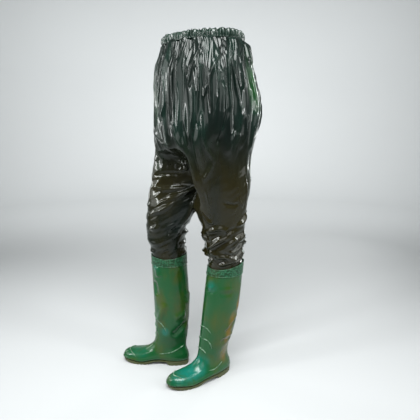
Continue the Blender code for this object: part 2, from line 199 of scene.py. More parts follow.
# The foot: its dip under the ball, the swing of the toe inward with its start, length and top, the
# hollow of the arch with its place, length and foot, and the height over which both fade.
TREAD_DIP = 0.0075
TREAD_DIP_AT = 0.120
TREAD_DIP_SPAN = 0.036
TOE_SWING = 0.011
SWING_START = 0.020
SWING_SPAN = 0.170
SWING_TOP = 0.060
ARCH_IN = 0.009
ARCH_AT = 0.048
ARCH_SPAN = 0.036
ARCH_FOOT = 0.016
FOOT_FADE = 0.050

# The hem: how far it lies inside the rim's outline, how high over the rim it turns down, how far
# it reaches into the boot, and the gap at which pieces lie on each other.
HEM_INSET = 0.0030
HEM_OVER = 0.017
HEM_LAP = 0.029
SEAT_GAP = 0.0004

# A crease: the side it is on, its path as places (column from the centre front, height), half width
# and height of its crest. A negative height is a trough. Columns past HALF are on the inner leg.
Crease = namedtuple("Crease", "side path width height")
CREASES = (
    Crease("left", ((11.8, 1.180), (11.2, 1.099), (11.2, 0.985)), 0.0060, 0.0069),
    Crease("left", ((13.8, 1.180), (11.9, 1.087), (9.7, 0.985)), 0.0070, 0.0057),
    Crease("left", ((14.7, 1.180), (12.4, 1.050), (11.9, 0.985)), 0.0060, -0.0046),
    Crease("left", ((15.2, 1.180), (14.5, 1.094), (13.5, 0.975)), 0.0065, 0.0069),
    Crease("left", ((16.2, 1.180), (15.5, 1.088), (15.8, 1.020)), 0.0060, 0.0063),
    Crease("left", ((18.7, 1.180), (16.8, 1.095), (16.3, 1.005)), 0.0060, 0.0063),
    Crease("left", ((10.3, 1.180), (8.7, 1.098), (7.8, 1.015)), 0.0060, 0.0057),
    Crease("left", ((9.0, 1.180), (7.8, 1.116), (7.7, 1.050)), 0.0055, 0.0052),
    Crease("left", ((7.7, 1.180), (6.5, 1.103), (5.8, 1.005)), 0.0060, 0.0057),
    Crease("left", ((5.0, 1.180), (4.8, 1.095), (4.8, 0.996), (5.2, 0.925)), 0.0060, 0.0063),
    Crease("left", ((1.7, 1.180), (3.7, 1.066), (4.0, 0.978), (2.0, 0.905)), 0.0060, 0.0069),
    Crease("left", ((1.2, 1.178), (0.8, 1.106), (1.7, 1.030)), 0.0055, 0.0057),
    Crease("left", ((13.3, 1.055), (12.7, 0.990), (12.5, 0.910)), 0.0095, 0.0075),
    Crease("left", ((14.2, 1.035), (13.5, 0.933), (12.5, 0.870)), 0.0095, 0.0090),
    Crease("left", ((7.0, 1.110), (6.7, 0.978), (7.2, 0.846)), 0.0100, -0.0069),
    Crease("left", ((8.5, 1.055), (8.5, 0.933), (8.0, 0.835)), 0.0095, 0.0083),
    Crease("left", ((9.7, 0.969), (10.2, 0.891), (11.0, 0.830)), 0.0081, 0.0067),
    Crease("left", ((19.0, 0.975), (18.7, 0.908), (18.3, 0.835)), 0.0095, 0.0105),
    Crease("left", ((16.3, 0.969), (17.0, 0.891), (16.0, 0.841)), 0.0088, 0.0083),
    Crease("left", ((15.0, 0.905), (14.5, 0.874), (13.7, 0.826)), 0.0074, 0.0075),
    Crease("left", ((0.0, 0.915), (2.5, 0.868), (5.4, 0.845)), 0.0108, 0.0120),
    Crease("left", ((5.2, 0.930), (6.3, 0.879), (7.4, 0.840)), 0.0081, 0.0075),
    Crease("left", ((7.7, 0.830), (8.0, 0.776), (8.3, 0.700)), 0.0121, 0.0067),
    Crease("left", ((10.3, 0.858), (11.5, 0.811), (9.3, 0.735)), 0.0081, 0.0067),
    Crease("left", ((16.8, 0.770), (17.0, 0.727), (17.5, 0.640)), 0.0080, 0.0030),
    Crease("left", ((7.1, 0.860), (8.2, 0.786), (8.6, 0.715)), 0.0120, 0.0070),
    Crease("left", ((8.5, 0.930), (8.7, 0.829), (9.2, 0.740)), 0.0085, -0.0055),
    Crease("left", ((9.6, 0.945), (9.8, 0.860), (9.9, 0.770)), 0.0120, 0.0060),
    Crease("left", ((10.2, 0.885), (10.6, 0.860), (11.6, 0.800)), 0.0042, 0.0048),
    Crease("left", ((10.9, 0.862), (11.2, 0.840), (11.6, 0.815)), 0.0036, 0.0040),
    Crease("left", ((12.7, 0.985), (12.6, 0.920), (12.2, 0.870)), 0.0130, 0.0085),
    Crease("left", ((14.0, 0.985), (13.2, 0.910), (12.3, 0.850)), 0.0100, -0.0060),
    Crease("left", ((15.0, 0.905), (14.5, 0.866), (13.8, 0.832)), 0.0045, 0.0060),
    Crease("left", ((16.0, 0.895), (15.6, 0.875), (15.2, 0.855)), 0.0040, 0.0045),
    Crease("left", ((9.7, 0.722), (9.6, 0.667), (8.8, 0.612)), 0.0060, 0.0042),
    Crease("left", ((10.7, 0.728), (10.0, 0.685), (9.6, 0.640)), 0.0055, 0.0034),
    Crease("left", ((12.2, 0.676), (13.6, 0.665), (15.2, 0.667)), 0.0080, -0.0050),
    Crease("left", ((15.2, 0.680), (15.9, 0.664), (16.6, 0.650)), 0.0060, 0.0050),
    Crease("left", ((7.1, 0.642), (8.2, 0.608), (9.5, 0.606), (10.2, 0.636)), 0.0090, 0.0060),
    Crease("left", ((8.0, 0.520), (11.5, 0.533), (16.6, 0.556)), 0.0150, 0.0110),
    Crease("left", ((7.0, 0.498), (10.5, 0.482), (14.0, 0.472)), 0.0140, 0.0105),
    Crease("left", ((7.6, 0.443), (11.0, 0.455), (15.8, 0.478)), 0.0125, 0.0100),
    Crease("left", ((12.0, 0.493), (14.8, 0.500), (18.0, 0.514)), 0.0115, 0.0085),
    Crease("left", ((11.8, 0.446), (14.8, 0.456), (17.6, 0.477)), 0.0115, 0.0085),
    Crease("left", ((5.8, 0.519), (8.0, 0.516), (10.2, 0.527)), 0.0100, 0.0085),
    Crease("left", ((6.6, 0.564), (10.0, 0.580), (13.0, 0.578)), 0.0120, 0.0080),
    Crease("left", ((14.8, 0.586), (16.8, 0.600), (19.0, 0.628)), 0.0140, 0.0105),
    Crease("left", ((15.4, 0.528), (17.2, 0.540), (19.2, 0.562)), 0.0110, 0.0075),
    Crease("left", ((4.4, 0.482), (5.8, 0.472), (7.4, 0.462)), 0.0100, 0.0070),
    Crease("left", ((3.4, 0.560), (5.0, 0.546), (6.8, 0.540)), 0.0100, 0.0060),
    Crease("right", ((1.8, 0.812), (0.3, 0.815), (0.0, 0.796)), 0.0121, -0.0120),
    Crease("right", ((1.8, 0.806), (0.4, 0.797), (0.5, 0.781), (2.4, 0.766)), 0.0088, 0.0120),
    Crease("right", ((4.7, 0.745), (3.3, 0.757), (1.6, 0.758)), 0.0070, -0.0070),
    Crease("right", ((4.5, 0.711), (2.8, 0.702), (1.0, 0.713)), 0.0125, 0.0093),
    Crease("right", ((0.0, 0.714), (0.7, 0.691), (2.4, 0.671)), 0.0125, 0.0096),
    Crease("right", ((0.2, 0.697), (0.9, 0.676), (2.2, 0.652)), 0.0125, 0.0087),
    Crease("right", ((0.2, 0.660), (1.0, 0.633), (3.2, 0.606)), 0.0125, 0.0090),
    Crease("right", ((3.0, 0.556), (0.5, 0.562), (0.0, 0.571)), 0.0125, 0.0081),
    Crease("right", ((29.7, 0.668), (27.3, 0.603), (27.8, 0.518)), 0.0125, 0.0093),
    Crease("right", ((4.0, 0.470), (2.3, 0.466), (0.5, 0.470)), 0.0125, 0.0092),
)

# Creases that start below the roll top are rolls, with straight sides and pointed ends. Those that
# start above the waist foot come out of the casing. Below the grid height, a crease is placed on
# the whole rings of its leg.
ROLL_TOP = 0.83
WAIST_FOOT = 1.15
LEG_GRID_TOP = 0.60

# How far a crease reaches in half widths, the share of its length over which an end fades, and the
# same at the casing. A roll's outline follows a power of a sine, and is never thinner than its tip.
CREASE_REACH = 3.4
CREASE_FADE = 0.22
CASING_FADE = 0.03
LEAF_POWER = 0.6
LEAF_TIP = 0.15

# Sections: how fast a crest falls, how round it is and where its top then lies, and how far out a
# tent stands, how round its fold is and how high that is.
CREST_FALL = 1.7
CREST_ROUND = 0.06
CREST_PEAK = 0.245
TENT_FOOT = 1.1
TENT_ROUND = 0.02
TENT_TALL = 0.96

# All creases together move the film no further than this. They start a little above a boot's rim.
DEEPEST = -0.012
HIGHEST = 0.014
RIM_CLEAR = 0.002
RIM_FADE = 0.014

# A spread of values from low to high: counting numbers step through it by its rate.
Span = namedtuple("Span", "low high rate")

# The pleats that hang from the casing: start above the trunk, shift from even places, length of
# every other one and of the rest, lean in columns of one that is as long as given, bow, half width
# and share of the gather depth.
PLEAT_ABOVE = 0.010
PLEAT_PLACE = Span(0.0, 0.7, 0.381)
PLEAT_SHORT = Span(0.045, 0.095, 0.618)
PLEAT_LONG = Span(0.045, 0.245, 0.618)
PLEAT_LEAN = Span(-0.9, 0.9, 0.755)
PLEAT_LEAN_AT = 0.2
PLEAT_BOW = Span(-0.25, 0.25, 0.549)
PLEAT_WIDTH = Span(0.0042, 0.0068, 0.833)
PLEAT_TALL = Span(0.55, 1.30, 0.236)

# The rolls round the sides of the legs that the table of creases leaves plain: the columns where
# they start, the rolls of each leg, their lowest place over the rim and reach above it with the
# power that crowds them down, span in columns, rise, sag, width and height.
PLAIN_COLUMNS = {"left": Span(19.0, 31.0, 0.755), "right": Span(6.0, 20.0, 0.755)}
ROLLS = 34
ROLL_FOOT = 0.022
ROLL_PLACE = Span(0.0, 1.0, 0.618)
ROLL_REACH = 0.19
ROLL_CROWD = 1.4
ROLL_SPAN = Span(5.0, 9.0, 0.381)
ROLL_RISE = Span(-0.025, 0.025, 0.549)
ROLL_SAG = 0.005
ROLL_WIDTH = 0.0120
ROLL_TALL = Span(0.0060, 0.0100, 0.236)

# The slanting folds above those rolls: number, height, path from its start as columns and height,
# rate at which the starts are spread, width and height of the crest.
SLANTS = 12
SLANT_PLACE = Span(0.60, 0.76, 0.618)
SLANT_PATH = ((0.0, 0.0), (2.0, -0.03), (4.5, -0.04))
SLANT_RATE = 0.381
SLANT_WIDTH = 0.0070
SLANT_TALL = Span(0.0035, 0.0060, 0.236)

# The left leg lies where x is above this. Below the bunch top the film bunches up over the boots.
LEGS_APART = -0.03
BUNCH_TOP = 0.60
BUNCH_FADE = 0.05

# The crumple of the film: its strength on each leg and what is added where the film bunches up,
# the height from which it has its full strength and the one from which it runs upright, each with
# the height over which that comes in.
Crumple = namedtuple("Crumple", "plain bunched")
CRUMPLES = {"left": Crumple(0.20, 1.55), "right": Crumple(0.52, 0.18)}
FULL_FROM = 0.70
FULL_SPAN = 0.18
UPRIGHT_FROM = 0.66
UPRIGHT_SPAN = 0.20

# Its creases per metre across and up, how the upright ones lean, how those of the legs rise to the
# back, and the level round which they move. A second, finer set has a share on trunk and legs.
UPRIGHT_ACROSS = 17.0
UPRIGHT_ALONG = 1.7
UPRIGHT_LEAN = 1.6
RISING_ACROSS = 10.0
RISING_ALONG = 30.0
RISING_SLOPE = 0.5
CRUMPLE_LEVEL = 0.22
CreaseSet = namedtuple("CreaseSet", "trunk leg finer")
CREASE_SETS = (CreaseSet(1.0, 1.0, 1.0), CreaseSet(0.75, 0.50, 2.3))

# The scrunched casing: points of a gather, how rounded its lobes are, and the section as shares of
# the casing's depth and height with the points round it.
GATHER_POINTS = 14
LOBE_POWER = 0.75
CASING_SECTION = (
    (0.75, -0.22), (0.80, 0.06), (0.85, 0.45), (0.55, 0.86), (0.0, 1.0),
    (-0.42, 0.86), (-0.60, 0.50), (-0.50, 0.20), (-0.30, 0.0),
)
CASING_POINTS = 21

# Waves round the waist: size, number of waves, start, and a slower wave that bends them. One set
# moves the gathers sideways, one makes their depth uneven round its mean, and one tilts them.
Ripple = namedtuple("Ripple", "size waves start bend bend_waves", defaults=(0.0, 0.0, 0))
GATHER_SHIFTS = (Ripple(1.088, 3, 1.0), Ripple(0.816, 7, 2.0), Ripple(0.544, 13))
GATHER_MEAN = 0.72
GATHER_UNEVEN = (Ripple(0.34, 17, 0.0, 4, 5), Ripple(0.30, 29, 0.0, 2, 11))
TILT_SIZE = 0.9
TILT_BEND = 3
TILT_BEND_WAVES = 4

# The casing bulges and is scalloped by these shares of the gather depth, round these levels of a
# lobe. It is held in at its foot and loosens above, and the scallops come in toward its top, as
# shares of its height.
BULGE = 2.5
BULGE_LOBE = 0.70
BULGE_FOOT = 0.35
LOOSE_FROM = -0.10
LOOSE_SPAN = 0.35
SCALLOP = 1.5
SCALLOP_LOBE = 0.6
SCALLOP_FROM = 0.3
SCALLOP_SPAN = 0.6

# A dent of a boot: its side, its path as places (turn from the toe by the outer side, height), half
# width, and how far it stands out. It goes in where that is negative.
Dent = namedtuple("Dent", "side path width height")
DENTS = (
    Dent("right", ((303, 0.412), (300, 0.398), (296, 0.366)), 0.012, 0.0055),
    Dent("right", ((322, 0.352), (316, 0.322), (311, 0.288)), 0.013, -0.0068),
    Dent("right", ((275, 0.272), (294, 0.227), (312, 0.182)), 0.012, 0.0065),
    Dent("right", ((223, 0.402), (212, 0.355), (208, 0.290)), 0.016, -0.0035),
    Dent("right", ((252, 0.208), (229, 0.217), (206, 0.223)), 0.014, 0.0055),
    Dent("right", ((198, 0.186), (232, 0.160), (260, 0.126)), 0.012, -0.0070),
    Dent("right", ((130, 0.215), (150, 0.180), (186, 0.160)), 0.014, -0.0040),
    Dent("right", ((60, 0.200), (95, 0.185), (130, 0.150)), 0.012, -0.0035),
    Dent("right", ((170, 0.300), (185, 0.270), (200, 0.250)), 0.018, 0.0035),
    Dent("left", ((352, 0.350), (13, 0.357), (36, 0.354)), 0.008, 0.0025),
    Dent("left", ((356, 0.334), (18, 0.339), (42, 0.336)), 0.009, -0.0025),
    Dent("left", ((136, 0.250), (105, 0.227), (82, 0.194)), 0.009, 0.0038),
    Dent("left", ((138, 0.230), (105, 0.208), (86, 0.178)), 0.010, -0.0040),
    Dent("left", ((132, 0.150), (103, 0.153), (74, 0.155)), 0.009, -0.0045),
    Dent("left", ((132, 0.168), (103, 0.171), (76, 0.172)), 0.009, 0.0035),
    Dent("left", ((121, 0.392), (124, 0.321), (128, 0.248)), 0.013, 0.0025),
    Dent("left", ((250, 0.215), (225, 0.180), (186, 0.165)), 0.013, -0.0045),
    Dent("left", ((290, 0.190), (262, 0.165), (230, 0.140)), 0.011, -0.0035),
    Dent("left", ((300, 0.330), (286, 0.280), (280, 0.230)), 0.018, 0.0035),
)

# A rib moulded on a boot: its side, and its path as places (turn from the toe by the outer side,
# height).
Rib = namedtuple("Rib", "side path")
SHIN_RIB = ((-38, 0.188), (-19, 0.203), (-2, 0.207), (19, 0.205), (38, 0.188))
ANKLE_RIB = ((-48, 0.128), (-26, 0.158), (0, 0.163), (26, 0.161), (40, 0.149), (51, 0.127))
INSTEP_RIB = ((-34, 0.109), (-19, 0.119), (0, 0.122), (19, 0.119), (34, 0.109))
TOE_RIB = ((292, 0.032), (311, 0.041), (335, 0.0462), (360, 0.0476), (385, 0.0462), (409, 0.041))
RIBS = (
    Rib("left", SHIN_RIB),
    Rib("left", ANKLE_RIB),
    Rib("left", INSTEP_RIB),
    Rib("right", ((-81, 0.146), (-73, 0.167), (-52, 0.190), *SHIN_RIB[1:])),
    Rib("right", ANKLE_RIB),
    Rib("right", INSTEP_RIB),
    Rib("left", TOE_RIB),
    Rib("right", TOE_RIB),
    Rib("right", ((255, 0.047), (234, 0.056), (217, 0.069), (199, 0.082))),
    Rib("left", ((99, 0.048), (112, 0.046), (120, 0.051), (132, 0.060))),
)

# A raised line: points along a rib and over its section, how deep it is set in, the share of its
# height that it goes below the surface, the share of its length over which it tapers and how thin
# it gets. The bead of the weld band has these shares of a rib's width and height.
RIB_POINTS = 41
LINE_POINTS = 7
LINE_SET = 0.0001
LINE_FOOT = 0.5
LINE_TAPER = 0.12
LINE_THIN = 0.12
BEAD_WIDTH = 0.8
BEAD_HEIGHT = 0.9

# A tint of the boot rubber: side, its middle (turn from the toe by the outer side, height), its
# reach sideways and upward, the colour of the settings that it has, and its strength. The teal
# tints are painted sheen, put where the rubber catches the light on feet, shafts and rims.
Tint = namedtuple("Tint", "side turn z reach tall colour share")
TINTS = (
    Tint("left", 88, 0.360, 0.050, 0.060, "olive", 0.9),
    Tint("left", 56, 0.235, 0.050, 0.075, "olive", 0.8),
    Tint("left", 92, 0.150, 0.040, 0.060, "olive", 0.8),
    Tint("left", 130, 0.282, 0.026, 0.070, "ochre", 0.9),
    Tint("left", 108, 0.222, 0.026, 0.060, "ochre", 1.0),
    Tint("left", 103, 0.165, 0.022, 0.050, "ochre", 0.9),
    Tint("left", 118, 0.095, 0.026, 0.050, "ochre", 0.6),
    Tint("left", 15, 0.363, 0.030, 0.030, "teal", 0.7),
    Tint("left", 13, 0.075, 0.060, 0.045, "teal", 0.9),
    Tint("left", 26, 0.048, 0.075, 0.045, "teal", 1.0),
    Tint("left", 50, 0.050, 0.060, 0.030, "teal", 0.8),
    Tint("right", 234, 0.375, 0.036, 0.050, "olive", 0.9),
    Tint("right", 300, 0.278, 0.036, 0.045, "olive", 0.9),
    Tint("right", 298, 0.178, 0.034, 0.030, "olive", 0.9),
    Tint("right", 240, 0.240, 0.030, 0.060, "olive", 0.6),
    Tint("right", 285, 0.148, 0.026, 0.026, "teal", 0.8),
    Tint("right", 305, 0.403, 0.030, 0.024, "teal", 0.6),
    Tint("right", 311, 0.045, 0.060, 0.030, "teal", 0.4),
)

# The film's finish: the heights over which the tint of its upper part and its fine facets come in,
# the depth of those facets, and the tint of its shine. Soft patches, each with its middle and its
# reach along the axes: painted backlight, a green glow painted as if light shone through single film,
# at the hip and at the fly, and glossier film over the left boot.
UPPER_FILM = (0.82, 1.05)
FACET_FILM = (0.80, 1.09)
FACET_DEPTH = 0.0026
FILM_TINT = (0.85, 1.0, 0.92)
Patch = namedtuple("Patch", "middle reach")
HIP_BACKLIGHT = Patch((0.125, 0.181, 1.055), (0.056, 0.056, 0.14))
FLY_BACKLIGHT = Patch((-0.008, -0.116, 0.985), (0.045, 0.040, 0.11))
BUNCH_GLOSS = Patch((0.06, 0.10, 0.510), (0.16, 0.16, 0.10))

# The other finishes: how far the weld band's lower edge wanders, and over what height above its
# ring it comes in, and the depths of its pits and of the grain of rubber, sole and insole.
BAND_WANDER = 0.006
BAND_EDGE = (0.0015, 0.0045)
STIPPLE_DEPTH = 0.0010
GRAIN_DEPTH = 0.00005
SOLE_GRAIN_DEPTH = 0.0004
WEAVE_DEPTH = 0.0004

# The room: radii of the floor's rings, points round it, the sweep up to the wall with the turn at
# which it starts and its points, and the top of the wall.
FLOOR_RINGS = (0.02, 1.0, 2.5, 4.5)
FLOOR_ROUND = 96
SWEEP = 2.0
SWEEP_START = 0.1
SWEEP_POINTS = 12
WALL_TOP = 4.0

# A panel of light, seen from the camera: its place to the right, toward the camera and up, its
# width and height, its power, and the place that it is aimed at, toward the camera and up.
Panel = namedtuple("Panel", "name right toward up wide tall watts aim_toward aim_up")
PANELS = (
    Panel("overhead", 0.0, 1.15, 2.60, 1.7, 1.0, 32.0, 0.0, 0.60),
    Panel("front_high", 0.1, 3.0, 2.00, 2.0, 1.8, 8.0, 0.0, 1.10),
    Panel("right_panel", 1.9, 0.9, 1.65, 0.28, 1.3, 9.0, 0.0, 1.00),
    Panel("right_wall", 2.3, 0.3, 1.40, 1.4, 2.0, 7.0, 0.0, 0.75),
    Panel("left_panel", -1.9, 0.9, 1.65, 0.28, 1.3, 9.0, 0.0, 1.00),
    Panel("left_wall", -2.3, 0.3, 1.40, 1.4, 2.0, 8.0, 0.0, 0.65),
    Panel("right_back", 1.5, -2.2, 1.20, 0.30, 1.4, 4.0, 0.0, 0.50),
    Panel("left_back", -2.1, -1.2, 1.20, 0.30, 1.4, 4.0, 0.0, 0.50),
    Panel("backdrop_right", 3.0, -1.0, 3.6, 1.6, 1.6, 100.0, -6.0, 1.2),
    Panel("backdrop_left", -3.0, -1.0, 3.6, 1.6, 1.6, 100.0, -6.0, 1.2),
    Panel("front_wall_right", 3.0, 2.5, 3.6, 1.6, 1.6, 11.0, 6.0, 1.2),
    Panel("front_wall_left", -3.0, 2.5, 3.6, 1.6, 1.6, 11.0, 6.0, 1.2),
)
LIGHT_SPREAD = math.radians(100.0)
SENSOR = 36.0


class FilmSettings(bpy.types.PropertyGroup):
    """Sizes and colours of the film trousers and their waist."""

    thickness: FloatProperty(
        name="Thickness", description="Thickness of the film", default=0.0006, unit="LENGTH"
    )
    gathers: IntProperty(
        name="Gathers", description="Gathers round the waist casing", default=84, min=12
    )
    gather_depth: FloatProperty(
        name="Gather depth", description="Depth of a gather", default=0.0045, unit="LENGTH"
    )
    casing_height: FloatProperty(
        name="Casing height", description="Height of the waist casing", default=0.021, unit="LENGTH"
    )
    casing_depth: FloatProperty(
        name="Casing depth", description="Thickness of the casing", default=0.011, unit="LENGTH"
    )
    crumple: FloatProperty(
        name="Crumple", description="Depth of the small creases", default=0.0125, unit="LENGTH"
    )
    pleats: IntProperty(
        name="Pleats", description="Pleats that hang from the waist", default=104, min=12
    )
    dark: FloatVectorProperty(
        name="Dark film", description="Main colour", default=(0.004, 0.007, 0.006), subtype="COLOR"
    )
    green: FloatVectorProperty(
        name="Green film", description="Tint of the upper part", default=(0.005, 0.013, 0.010),
        subtype="COLOR",
    )
    brown: FloatVectorProperty(
        name="Brown film", description="Tint of the thighs", default=(0.0160, 0.0125, 0.0038),
        subtype="COLOR",
    )
    umber: FloatVectorProperty(
        name="Umber film", description="Film bunched over the left boot", default=(0.011, 0.0075, 0.0012),
        subtype="COLOR",
    )
    # Painted backlight: the green that single film shows with light behind it, painted into the colour.
    painted_backlight: FloatVectorProperty(
        name="Sheer film", description="Single film against the light", default=(0.005, 0.050, 0.008),
        subtype="COLOR",
    )


class BootSettings(bpy.types.PropertyGroup):
    """Sizes and colours of the boots."""

    wall: FloatProperty(
        name="Wall", description="Thickness of the rubber", default=0.0022, unit="LENGTH"
    )
    rib_width: FloatProperty(
        name="Rib width", description="Half width of a moulded rib", default=0.0019, unit="LENGTH"
    )
    rib_height: FloatProperty(
        name="Rib height", description="Height of a moulded rib", default=0.0024, unit="LENGTH"
    )
    green: FloatVectorProperty(
        name="Rubber", description="Main colour", default=(0.005, 0.062, 0.016), subtype="COLOR"
    )
    olive: FloatVectorProperty(
        name="Olive", description="Aged patches", default=(0.034, 0.058, 0.006), subtype="COLOR"
    )
    ochre: FloatVectorProperty(
        name="Ochre", description="Worn tint down the outer back of the left boot",
        default=(0.170, 0.085, 0.006), subtype="COLOR",
    )
    # Painted sheen: teal painted where the rubber catches the light on feet, shafts and rims.
    teal: FloatVectorProperty(
        name="Teal", description="Bloom on feet, shafts and rims",
        default=(0.003, 0.120, 0.088), subtype="COLOR",
    )
    band: FloatVectorProperty(
        name="Band", description="Stippled weld band", default=(0.018, 0.110, 0.055), subtype="COLOR"
    )
    # Painted shade: the weld band's pits are coloured darker as if shaded.
    painted_pit_shade: FloatVectorProperty(
        name="Pits", description="Pits of the weld band", default=(0.002, 0.022, 0.008), subtype="COLOR"
    )
    # Painted highlight: the pale rib crests stand in for light catching the ribs.
    crest: FloatVectorProperty(
        name="Rib crests", description="Rubbed crests of the ribs", default=(0.14, 0.24, 0.16),
        subtype="COLOR",
    )
    sole: FloatVectorProperty(
        name="Sole", description="Sole rubber", default=(0.062, 0.066, 0.022), subtype="COLOR"
    )
    insole: FloatVectorProperty(
        name="Insole", description="Insole foam", default=(0.20, 0.21, 0.19), subtype="COLOR"
    )
    weave: FloatVectorProperty(
        name="Insole weave", description="Gaps in the weave of the insole's face",
        default=(0.10, 0.11, 0.10), subtype="COLOR",
    )


class StageSettings(bpy.types.PropertyGroup):
    """The camera, the floor and the lights."""

    camera_place: FloatVectorProperty(
        name="Camera", description="Where the camera stands", default=(1.3563, -0.3161, 0.880),
        subtype="TRANSLATION",
    )
    camera_turn: FloatProperty(
        name="Turn", description="Turn of the camera", default=math.radians(74.0), subtype="ANGLE"
    )
    camera_pitch: FloatProperty(
        name="Pitch", description="Tilt of the camera", default=math.radians(79.8), subtype="ANGLE"
    )
    lens: FloatProperty(
        name="Lens", description="Focal length of the camera", default=34.166, unit="CAMERA"
    )
    floor: FloatVectorProperty(
        name="Floor", description="Colour of the floor", default=(0.47, 0.49, 0.495), subtype="COLOR"
    )
    floor_clouds: FloatVectorProperty(
        name="Floor clouds", description="Colour of faint clouds on the floor",
        default=(0.40, 0.41, 0.42), subtype="COLOR",
    )
    sky: FloatVectorProperty(
        name="Room", description="Colour of the room's light", default=(0.90, 0.93, 0.92),
        subtype="COLOR",
    )
    sky_strength: FloatProperty(
        name="Room light", description="Strength of the room's light", default=0.26
    )


def smooth(x):
    """An even step from 0 to 1."""
    x = np.clip(x, 0.0, 1.0)
    return x * x * (3 - 2 * x)


def bend(front, middle, back, along):
    """A smooth curve through three values, along running from 0 at the back to 1 at the front."""
    return (
        back * (1 - along) * (1 - 2 * along)
        + 4 * middle * along * (1 - along)
        + front * along * (2 * along - 1)
    )


def through(knots, values, at):
    """A smooth curve through the values at the knots, read at other places."""
    knots, values, at = np.asarray(knots), np.asarray(values, float), np.asarray(at)
    flat = (-1,) + (1,) * (values.ndim - 1)
    gap = np.diff(knots)
    rate = np.diff(values, axis=0) / gap.reshape(flat)
    before, after = gap[:-1].reshape(flat), gap[1:].reshape(flat)
    slope = np.empty_like(values)
    slope[1:-1] = (rate[:-1] * after + rate[1:] * before) / (before + after)
    slope[0], slope[-1] = rate[0], rate[-1]
    k = np.clip(np.searchsorted(knots, at, side="right") - 1, 0, len(gap) - 1)
    g = gap[k].reshape(flat)
    t = ((at - knots[k]) / gap[k]).reshape(flat)
    return (
        values[k] * (1 + 2 * t) * (1 - t) ** 2
        + values[k + 1] * t * t * (3 - 2 * t)
        + g * (slope[k] * t * (1 - t) ** 2 - slope[k + 1] * t * t * (1 - t))
    )


def divided(knots, steps):
    """Places along the knots, each stretch divided into steps of about the given length."""
    places = []
    for start, end, step in zip(knots[:-1], knots[1:], steps):
        count = max(1, round((end - start) / step))
        places += [start + (end - start) * k / count for k in range(count)]
    return np.array([*places, knots[-1]])


def rows_apart(rows):
    """Knots for a stack of rows, as far apart as the rows are on average."""
    apart = np.linalg.norm(np.diff(rows, axis=0), axis=-1).mean(axis=1)
    return np.concatenate(([0.0], np.cumsum(apart)))


def quads(lower, upper, flip=False):
    """Faces between two rows of point numbers."""
    faces = np.stack([lower[:-1], lower[1:], upper[1:], upper[:-1]], axis=-1)
    return faces[:, ::-1] if flip else faces


def ring_faces(rings, count, flip=False, closed=False):
    """Faces of a stack of rings of points, the last ring joined to the first where it closes."""
    index = np.arange(rings * count).reshape(rings, count)
    index = np.concatenate([index, index[:, :1]], axis=1)
    if closed:
        index = np.concatenate([index, index[:1]])
    return np.concatenate([quads(a, b, flip) for a, b in zip(index[:-1], index[1:])])


def point_normals(points, faces):
    """The direction that each point faces."""
    a, b, c, d = (points[faces[:, k]] for k in range(4))
    facing = np.cross(c - a, d - b)
    total = np.zeros_like(points)
    for k in range(4):
        np.add.at(total, faces[:, k], facing)
    return total / np.maximum(np.linalg.norm(total, axis=1, keepdims=True), 1e-12)


def along_path(points, path):
    """Distance of each point from a path, and how far along the path its nearest place is."""
    lengths = np.linalg.norm(np.diff(path, axis=0), axis=1)
    total, run = lengths.sum(), 0.0
    nearest = np.full(len(points), np.inf)
    share = np.zeros(len(points))
    for start, end, length in zip(path[:-1], path[1:], lengths):
        t = np.clip((points - start) @ (end - start) / length**2, 0.0, 1.0)
        away = np.linalg.norm(points - start - t[:, None] * (end - start), axis=1)
        closer = away < nearest
        nearest[closer] = away[closer]
        share[closer] = (run + t[closer] * length) / total
        run += length
    return nearest, share


def crest(away, width):
    """Section of a crease in film: a narrow crest with long sides."""
    return np.exp(-CREST_FALL * (np.sqrt((away / width) ** 2 + CREST_ROUND) - CREST_PEAK))


def tent(away, width):
    """Section of a roll of film: two straight sides that meet in a fold."""
    return np.maximum(0.0, TENT_FOOT - np.sqrt((away / width) ** 2 + TENT_ROUND)) / TENT_TALL


def dome(away, width):
    """Section of a soft dent in rubber."""
    return np.exp(-((away / width) ** 2))


def pushed(points, path, width, height, section, fade_in=CREASE_FADE, leaf=False):
    """How far a crease moves each point. It fades toward both ends, or narrows there like a leaf."""
    path = np.asarray(path)
    reach = CREASE_REACH * width
    low, high = path.min(axis=0) - reach, path.max(axis=0) + reach
    near = np.flatnonzero(((points > low) & (points < high)).all(axis=1))
    push = np.zeros(len(points))
    if len(near):
        away, share = along_path(points[near], path)
        fade = smooth(share / fade_in) * smooth((1 - share) / CREASE_FADE)
        fade = fade * smooth((reach - away) / width)
        if leaf:
            fade = np.maximum(0.0, np.sin(math.pi * share)) ** LEAF_POWER
            away = away / np.maximum(fade, LEAF_TIP)
        push[near] = height * section(away, width) * fade
    return push


def curved(places, count=9):
    """More places along a smooth curve through a few."""
    places = np.asarray(places, float)
    if len(places) == 2:
        return places[0] + (places[1] - places[0]) * np.linspace(0, 1, count)[:, None]
    return through(np.arange(len(places)), places, np.linspace(0, len(places) - 1, count))


def on_grid(grid, column, z):
    """The place on a grid of rows and columns at a column and a height."""
    low = int(math.floor(column))
    found = []
    for k in (low, low + 1):
        line = grid[:, k % grid.shape[1]]
        order = np.argsort(line[:, 2], kind="stable")
        found.append([np.interp(z, line[order, 2], line[order, axis]) for axis in range(3)])
    return np.array(found[0]) + (np.array(found[1]) - found[0]) * (column - low)


def made_piece(name, points, faces, finish, slot, replaced=()):
    """A smooth-shaded piece that rides with the waders."""
    mesh = bpy.data.meshes.new(name)
    mesh.from_pydata(np.asarray(points).tolist(), [], [list(face) for face in faces])
    mesh.shade_smooth()
    mesh.materials.append(finish)
    made = bpy.data.objects.new(name, mesh)
    bpy.context.scene.collection.objects.link(made)
    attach(made, BODY)
    if replaced:
        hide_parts(*replaced)
    return made


def near_normal(shape, facing, place):
    """The direction that a grid faces at the point nearest to a place."""
    k = np.argmin(((shape - place) ** 2).sum(axis=-1))
    return facing.reshape(-1, 3)[k]


